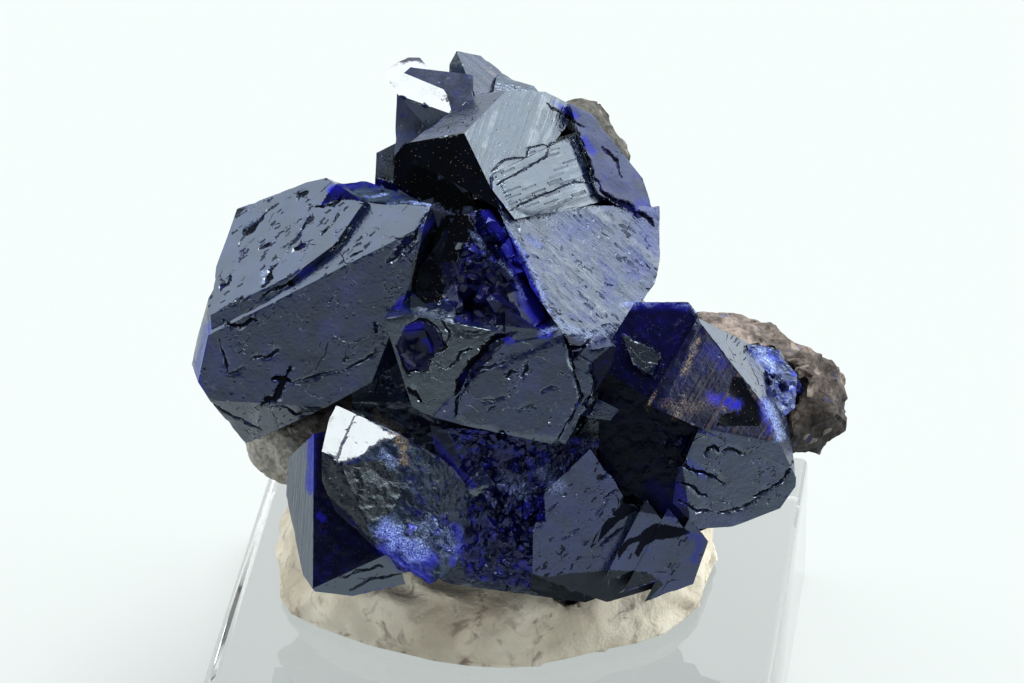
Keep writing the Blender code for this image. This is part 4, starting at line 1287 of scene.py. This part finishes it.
class SpecimenMount(bpy.types.PropertyGroup):
    rock_dark: FloatVectorProperty(
        name="Dark rock", description="Colour of the darker matrix", subtype="COLOR",
        default=(0.035, 0.024, 0.02))
    rock_light: FloatVectorProperty(
        name="Light rock", description="Colour of the lighter matrix", subtype="COLOR",
        default=(0.21, 0.165, 0.14))
    tack_color: FloatVectorProperty(
        name="Tack", description="Colour of clean tack", subtype="COLOR", default=(0.80, 0.75, 0.62))
    tack_shade: FloatVectorProperty(
        name="Tack shade", description="Colour of handled tack", subtype="COLOR", default=(0.55, 0.48, 0.37))
    block_bevel: FloatProperty(
        name="Block bevel", description="Polished bevel on the block's edges", default=0.35 * MM,
        min=0.0, unit="LENGTH")
    block_side: FloatProperty(
        name="Block side", description="Side of the clear block", default=block_high.x - block_low.x,
        min=0.0, unit="LENGTH")
    block_height: FloatProperty(
        name="Block height", description="Height of the clear block", default=block_high.z - block_low.z,
        min=0.0, unit="LENGTH")


class SpecimenStage(bpy.types.PropertyGroup):
    floor_side: FloatProperty(name="Floor side", description="Side of the floor", default=4.0, unit="LENGTH")
    floor_glow: FloatProperty(name="Floor glow", description="How much light the floor gives off", default=0.48)
    backdrop: FloatVectorProperty(
        name="Backdrop", description="Colour of the floor and of what lies behind it", subtype="COLOR",
        default=(0.913, 0.965, 0.956))
    key_light: FloatProperty(
        name="Key light", description="Brightness of the small overhead light", default=12.5)
    surround: FloatProperty(name="Surround", description="Brightness of the white surround", default=1.08)


# ---- Operators: one for each piece, and one for the stage.


class SPECIMEN_OT_crystals(bpy.types.Operator):
    """Adds the azurite crystals, carved and painted over the cluster's solid"""

    bl_idname = "specimen.crystals"
    bl_label = "Azurite crystals"

    def execute(self, context):
        sizes = context.scene.specimen_crystals
        points, triangles, tags = fine_crystal_arrays(sizes.detail)
        points, masks = carve_crystals(points, triangles, tags, sizes.relief)
        obj = mesh_from_arrays("azurite_crystals", points, triangles, masks, tags[:, 0])
        for make_group in (make_crack_group, make_crystal_tone_group, make_nicks_group,
                           make_fine_pits_group, make_hair_group, make_striae_group):
            make_group()
        finish_piece(obj, "azurite_cluster", "azurite", 32, *(crystal_material(look, sizes) for look in LOOKS))
        return {"FINISHED"}


class SPECIMEN_OT_rock(bpy.types.Operator):
    """Adds the brown matrix, roughened over the rock's solid"""

    bl_idname = "specimen.rock"
    bl_label = "Matrix rock"

    def execute(self, context):
        points, triangles, normals = even_arrays("matrix_rock", side=0.22, rounds=5)
        pits = sunken_pits(points, size=0.9, share=0.4, radius=0.35, seed=34)
        height = layered(points, *ROCK_RELIEF) - ROCK_PIT_DEPTH * pits
        points = points + normals * np.clip(height, *ROCK_RANGE)[:, None]
        obj = mesh_from_arrays("matrix_stone", points, triangles, {})
        finish_piece(obj, "matrix_rock", "matrix", 40, rock_material(context.scene.specimen_mount))
        return {"FINISHED"}


class SPECIMEN_OT_tack(bpy.types.Operator):
    """Adds the pressed mineral tack with its folds"""

    bl_idname = "specimen.tack"
    bl_label = "Mineral tack"

    def execute(self, context):
        points, triangles, normals = even_arrays("mineral_tack", side=0.3, rounds=6)
        folded = points + layered(points, ("waves", 1.1, 2.4, 41))[:, None]
        creases = 1 - 2 * abs(smooth_noise(folded / TACK_FOLD, 42))
        height = 0.30 * np.clip(creases, -1, 0.8) + layered(points, ("waves", 0.10, 0.7, 43))
        # The relief dies out towards the foot, which stays flat on the block.
        height *= np.clip((points[:, 2] - points[:, 2].min()) / TACK_FOOT, 0, 1)
        points = points + normals * (height - TACK_SINK * (height != 0))[:, None]
        obj = mesh_from_arrays("pressed_tack", points, triangles, {})
        finish_piece(obj, "mineral_tack", "tack", 50, tack_material(context.scene.specimen_mount))
        return {"FINISHED"}


class SPECIMEN_OT_block(bpy.types.Operator):
    """Adds the clear acrylic block with its polished bevels"""

    bl_idname = "specimen.block"
    bl_label = "Clear block"

    def execute(self, context):
        sizes = context.scene.specimen_mount
        bpy.ops.object.select_all(action="DESELECT")
        bpy.ops.mesh.primitive_cube_add(
            size=1.0, location=(0, 0, sizes.block_height / 2),
            scale=(sizes.block_side, sizes.block_side, sizes.block_height))
        block = context.object
        block.name = block.data.name = "clear_block"
        bpy.ops.object.transform_apply(location=True, rotation=True, scale=True)
        bevel = block.modifiers.new("polished_edges", "BEVEL")
        bevel.width = sizes.block_bevel
        bevel.segments = 3
        bpy.ops.object.modifier_apply(modifier=bevel.name)
        finish_piece(block, "acrylic_base", "acrylic", 25, acrylic_material())
        return {"FINISHED"}


def light_lobe(bench, direction, bearing, lift, half_width, half_height, softness):
    """1 inside an ellipse of the sky and 0 outside it, with a soft border."""
    centre = unit_direction(bearing, lift)
    side = Vector((0, 0, 1)).cross(centre).normalized()
    ahead, wide, tall = (bench.dot(direction, axis) for axis in (centre, side, centre.cross(side)))
    squares = []
    for part, half in ((wide, half_width), (tall, half_height)):
        share = bench.math("DIVIDE", part, math.sin(math.radians(half)))
        squares.append(bench.math("POWER", bench.math("ABSOLUTE", share), 2.0))
    reach = bench.math("SQRT", bench.math("ADD", *squares))
    lobe = bench.spread(reach, 1 + softness, 1 - softness)
    return bench.times(lobe, bench.math("GREATER_THAN", ahead, 0.0))


def studio_world(sizes):
    """A white surround with a dark patch round the camera, a small key light and a brighter back."""
    world = bpy.data.worlds.new("studio")
    bpy.context.scene.world = world
    world.use_nodes = True
    world.node_tree.nodes.clear()
    bench = NodeBench(world.node_tree)
    direction = bench.add("ShaderNodeTexCoord").outputs["Generated"]
    lobes = {name: light_lobe(bench, direction, *shape) for name, shape in SKY_LOBES.items()}
    level = bench.add_part(lobes["right"], 2.5, sizes.surround)
    level = bench.add_part(lobes["left"], 1.1, level)
    level = bench.times(level, bench.add_part(lobes["dim"], -0.5, 1.0))
    level = bench.times(level, bench.add_part(lobes["dark"], -0.975, 1.0))
    level = bench.add_part(lobes["key"], sizes.key_light, level)
    lit, shown = (
        bench.plug(bench.add("ShaderNodeBackground"), {"Color": color, "Strength": strength}).outputs[0]
        for color, strength in (((0.97, 1.0, 0.995), level), (sizes.backdrop, 1.0))
    )
    camera_ray = bench.add("ShaderNodeLightPath").outputs["Is Camera Ray"]
    mix = bench.plug(bench.add("ShaderNodeMixShader"), {0: camera_ray, 1: lit, 2: shown})
    bench.plug(bench.add("ShaderNodeOutputWorld"), {"Surface": mix.outputs[0]})


class SPECIMEN_OT_stage(bpy.types.Operator):
    """Adds the camera, the soft light and the pale floor"""

    bl_idname = "specimen.stage"
    bl_label = "Stage"

    def execute(self, context):
        sizes = context.scene.specimen_stage
        forward, right, up = camera_axes()
        data = bpy.data.cameras.new("camera")
        data.lens, data.sensor_width = LENS, SENSOR
        data.clip_start, data.clip_end = 0.01, 20.0
        camera = bpy.data.objects.new("camera", data)
        context.scene.collection.objects.link(camera)
        turned = Matrix((right, up, -forward)).transposed().to_4x4()
        turned.translation = Vector(camera_place() * MM)
        camera.matrix_world = turned
        context.scene.camera = camera
        studio_world(sizes)
        bpy.ops.object.select_all(action="DESELECT")
        bpy.ops.mesh.primitive_plane_add(size=sizes.floor_side, location=(0, 0, 0))
        floor = context.object
        floor.name = "floor"
        bpy.ops.object.transform_apply(location=True, rotation=True, scale=True)
        material, bench, shader = new_material("pale_floor")
        bench.plug(shader, {
            "Base Color": [FLOOR_SHADE * part for part in sizes.backdrop],
            "Roughness": 0.9,
            "Specular IOR Level": 0.0,
            "Emission Color": sizes.backdrop,
            "Emission Strength": sizes.floor_glow,
        })
        floor.data.materials.append(material)
        context.scene.view_settings.view_transform = "Standard"
        context.scene.view_settings.look = "None"
        return {"FINISHED"}


OPERATORS = (
    SPECIMEN_OT_stage,
    SPECIMEN_OT_crystals,
    SPECIMEN_OT_rock,
    SPECIMEN_OT_tack,
    SPECIMEN_OT_block,
)


class VIEW3D_PT_specimen(bpy.types.Panel):
    """Lists the pieces of the specimen"""

    bl_label = "Azurite Specimen"
    bl_idname = "VIEW3D_PT_specimen"
    bl_space_type = "VIEW_3D"
    bl_region_type = "UI"
    bl_category = "Specimen"

    def draw(self, context):
        column = self.layout.column()
        for operator in OPERATORS:
            column.operator(operator.bl_idname)
        for group in ("specimen_crystals", "specimen_mount", "specimen_stage"):
            box = self.layout.box()
            settings = getattr(context.scene, group)
            for key in settings.__annotations__:
                box.prop(settings, key)


GROUPS = {
    "specimen_crystals": SpecimenCrystals,
    "specimen_mount": SpecimenMount,
    "specimen_stage": SpecimenStage,
}


def register():
    for kind in (*GROUPS.values(), *OPERATORS, VIEW3D_PT_specimen):
        bpy.utils.register_class(kind)
    for name, kind in GROUPS.items():
        setattr(bpy.types.Scene, name, PointerProperty(type=kind))


def unregister():
    for name in GROUPS:
        delattr(bpy.types.Scene, name)
    for kind in (VIEW3D_PT_specimen, *reversed(OPERATORS), *reversed(GROUPS.values())):
        bpy.utils.unregister_class(kind)


def main():
    register()
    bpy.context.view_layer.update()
    for operator in OPERATORS:
        group, name = operator.bl_idname.split(".")
        getattr(getattr(bpy.ops, group), name)()


if __name__ == "__main__":
    main()
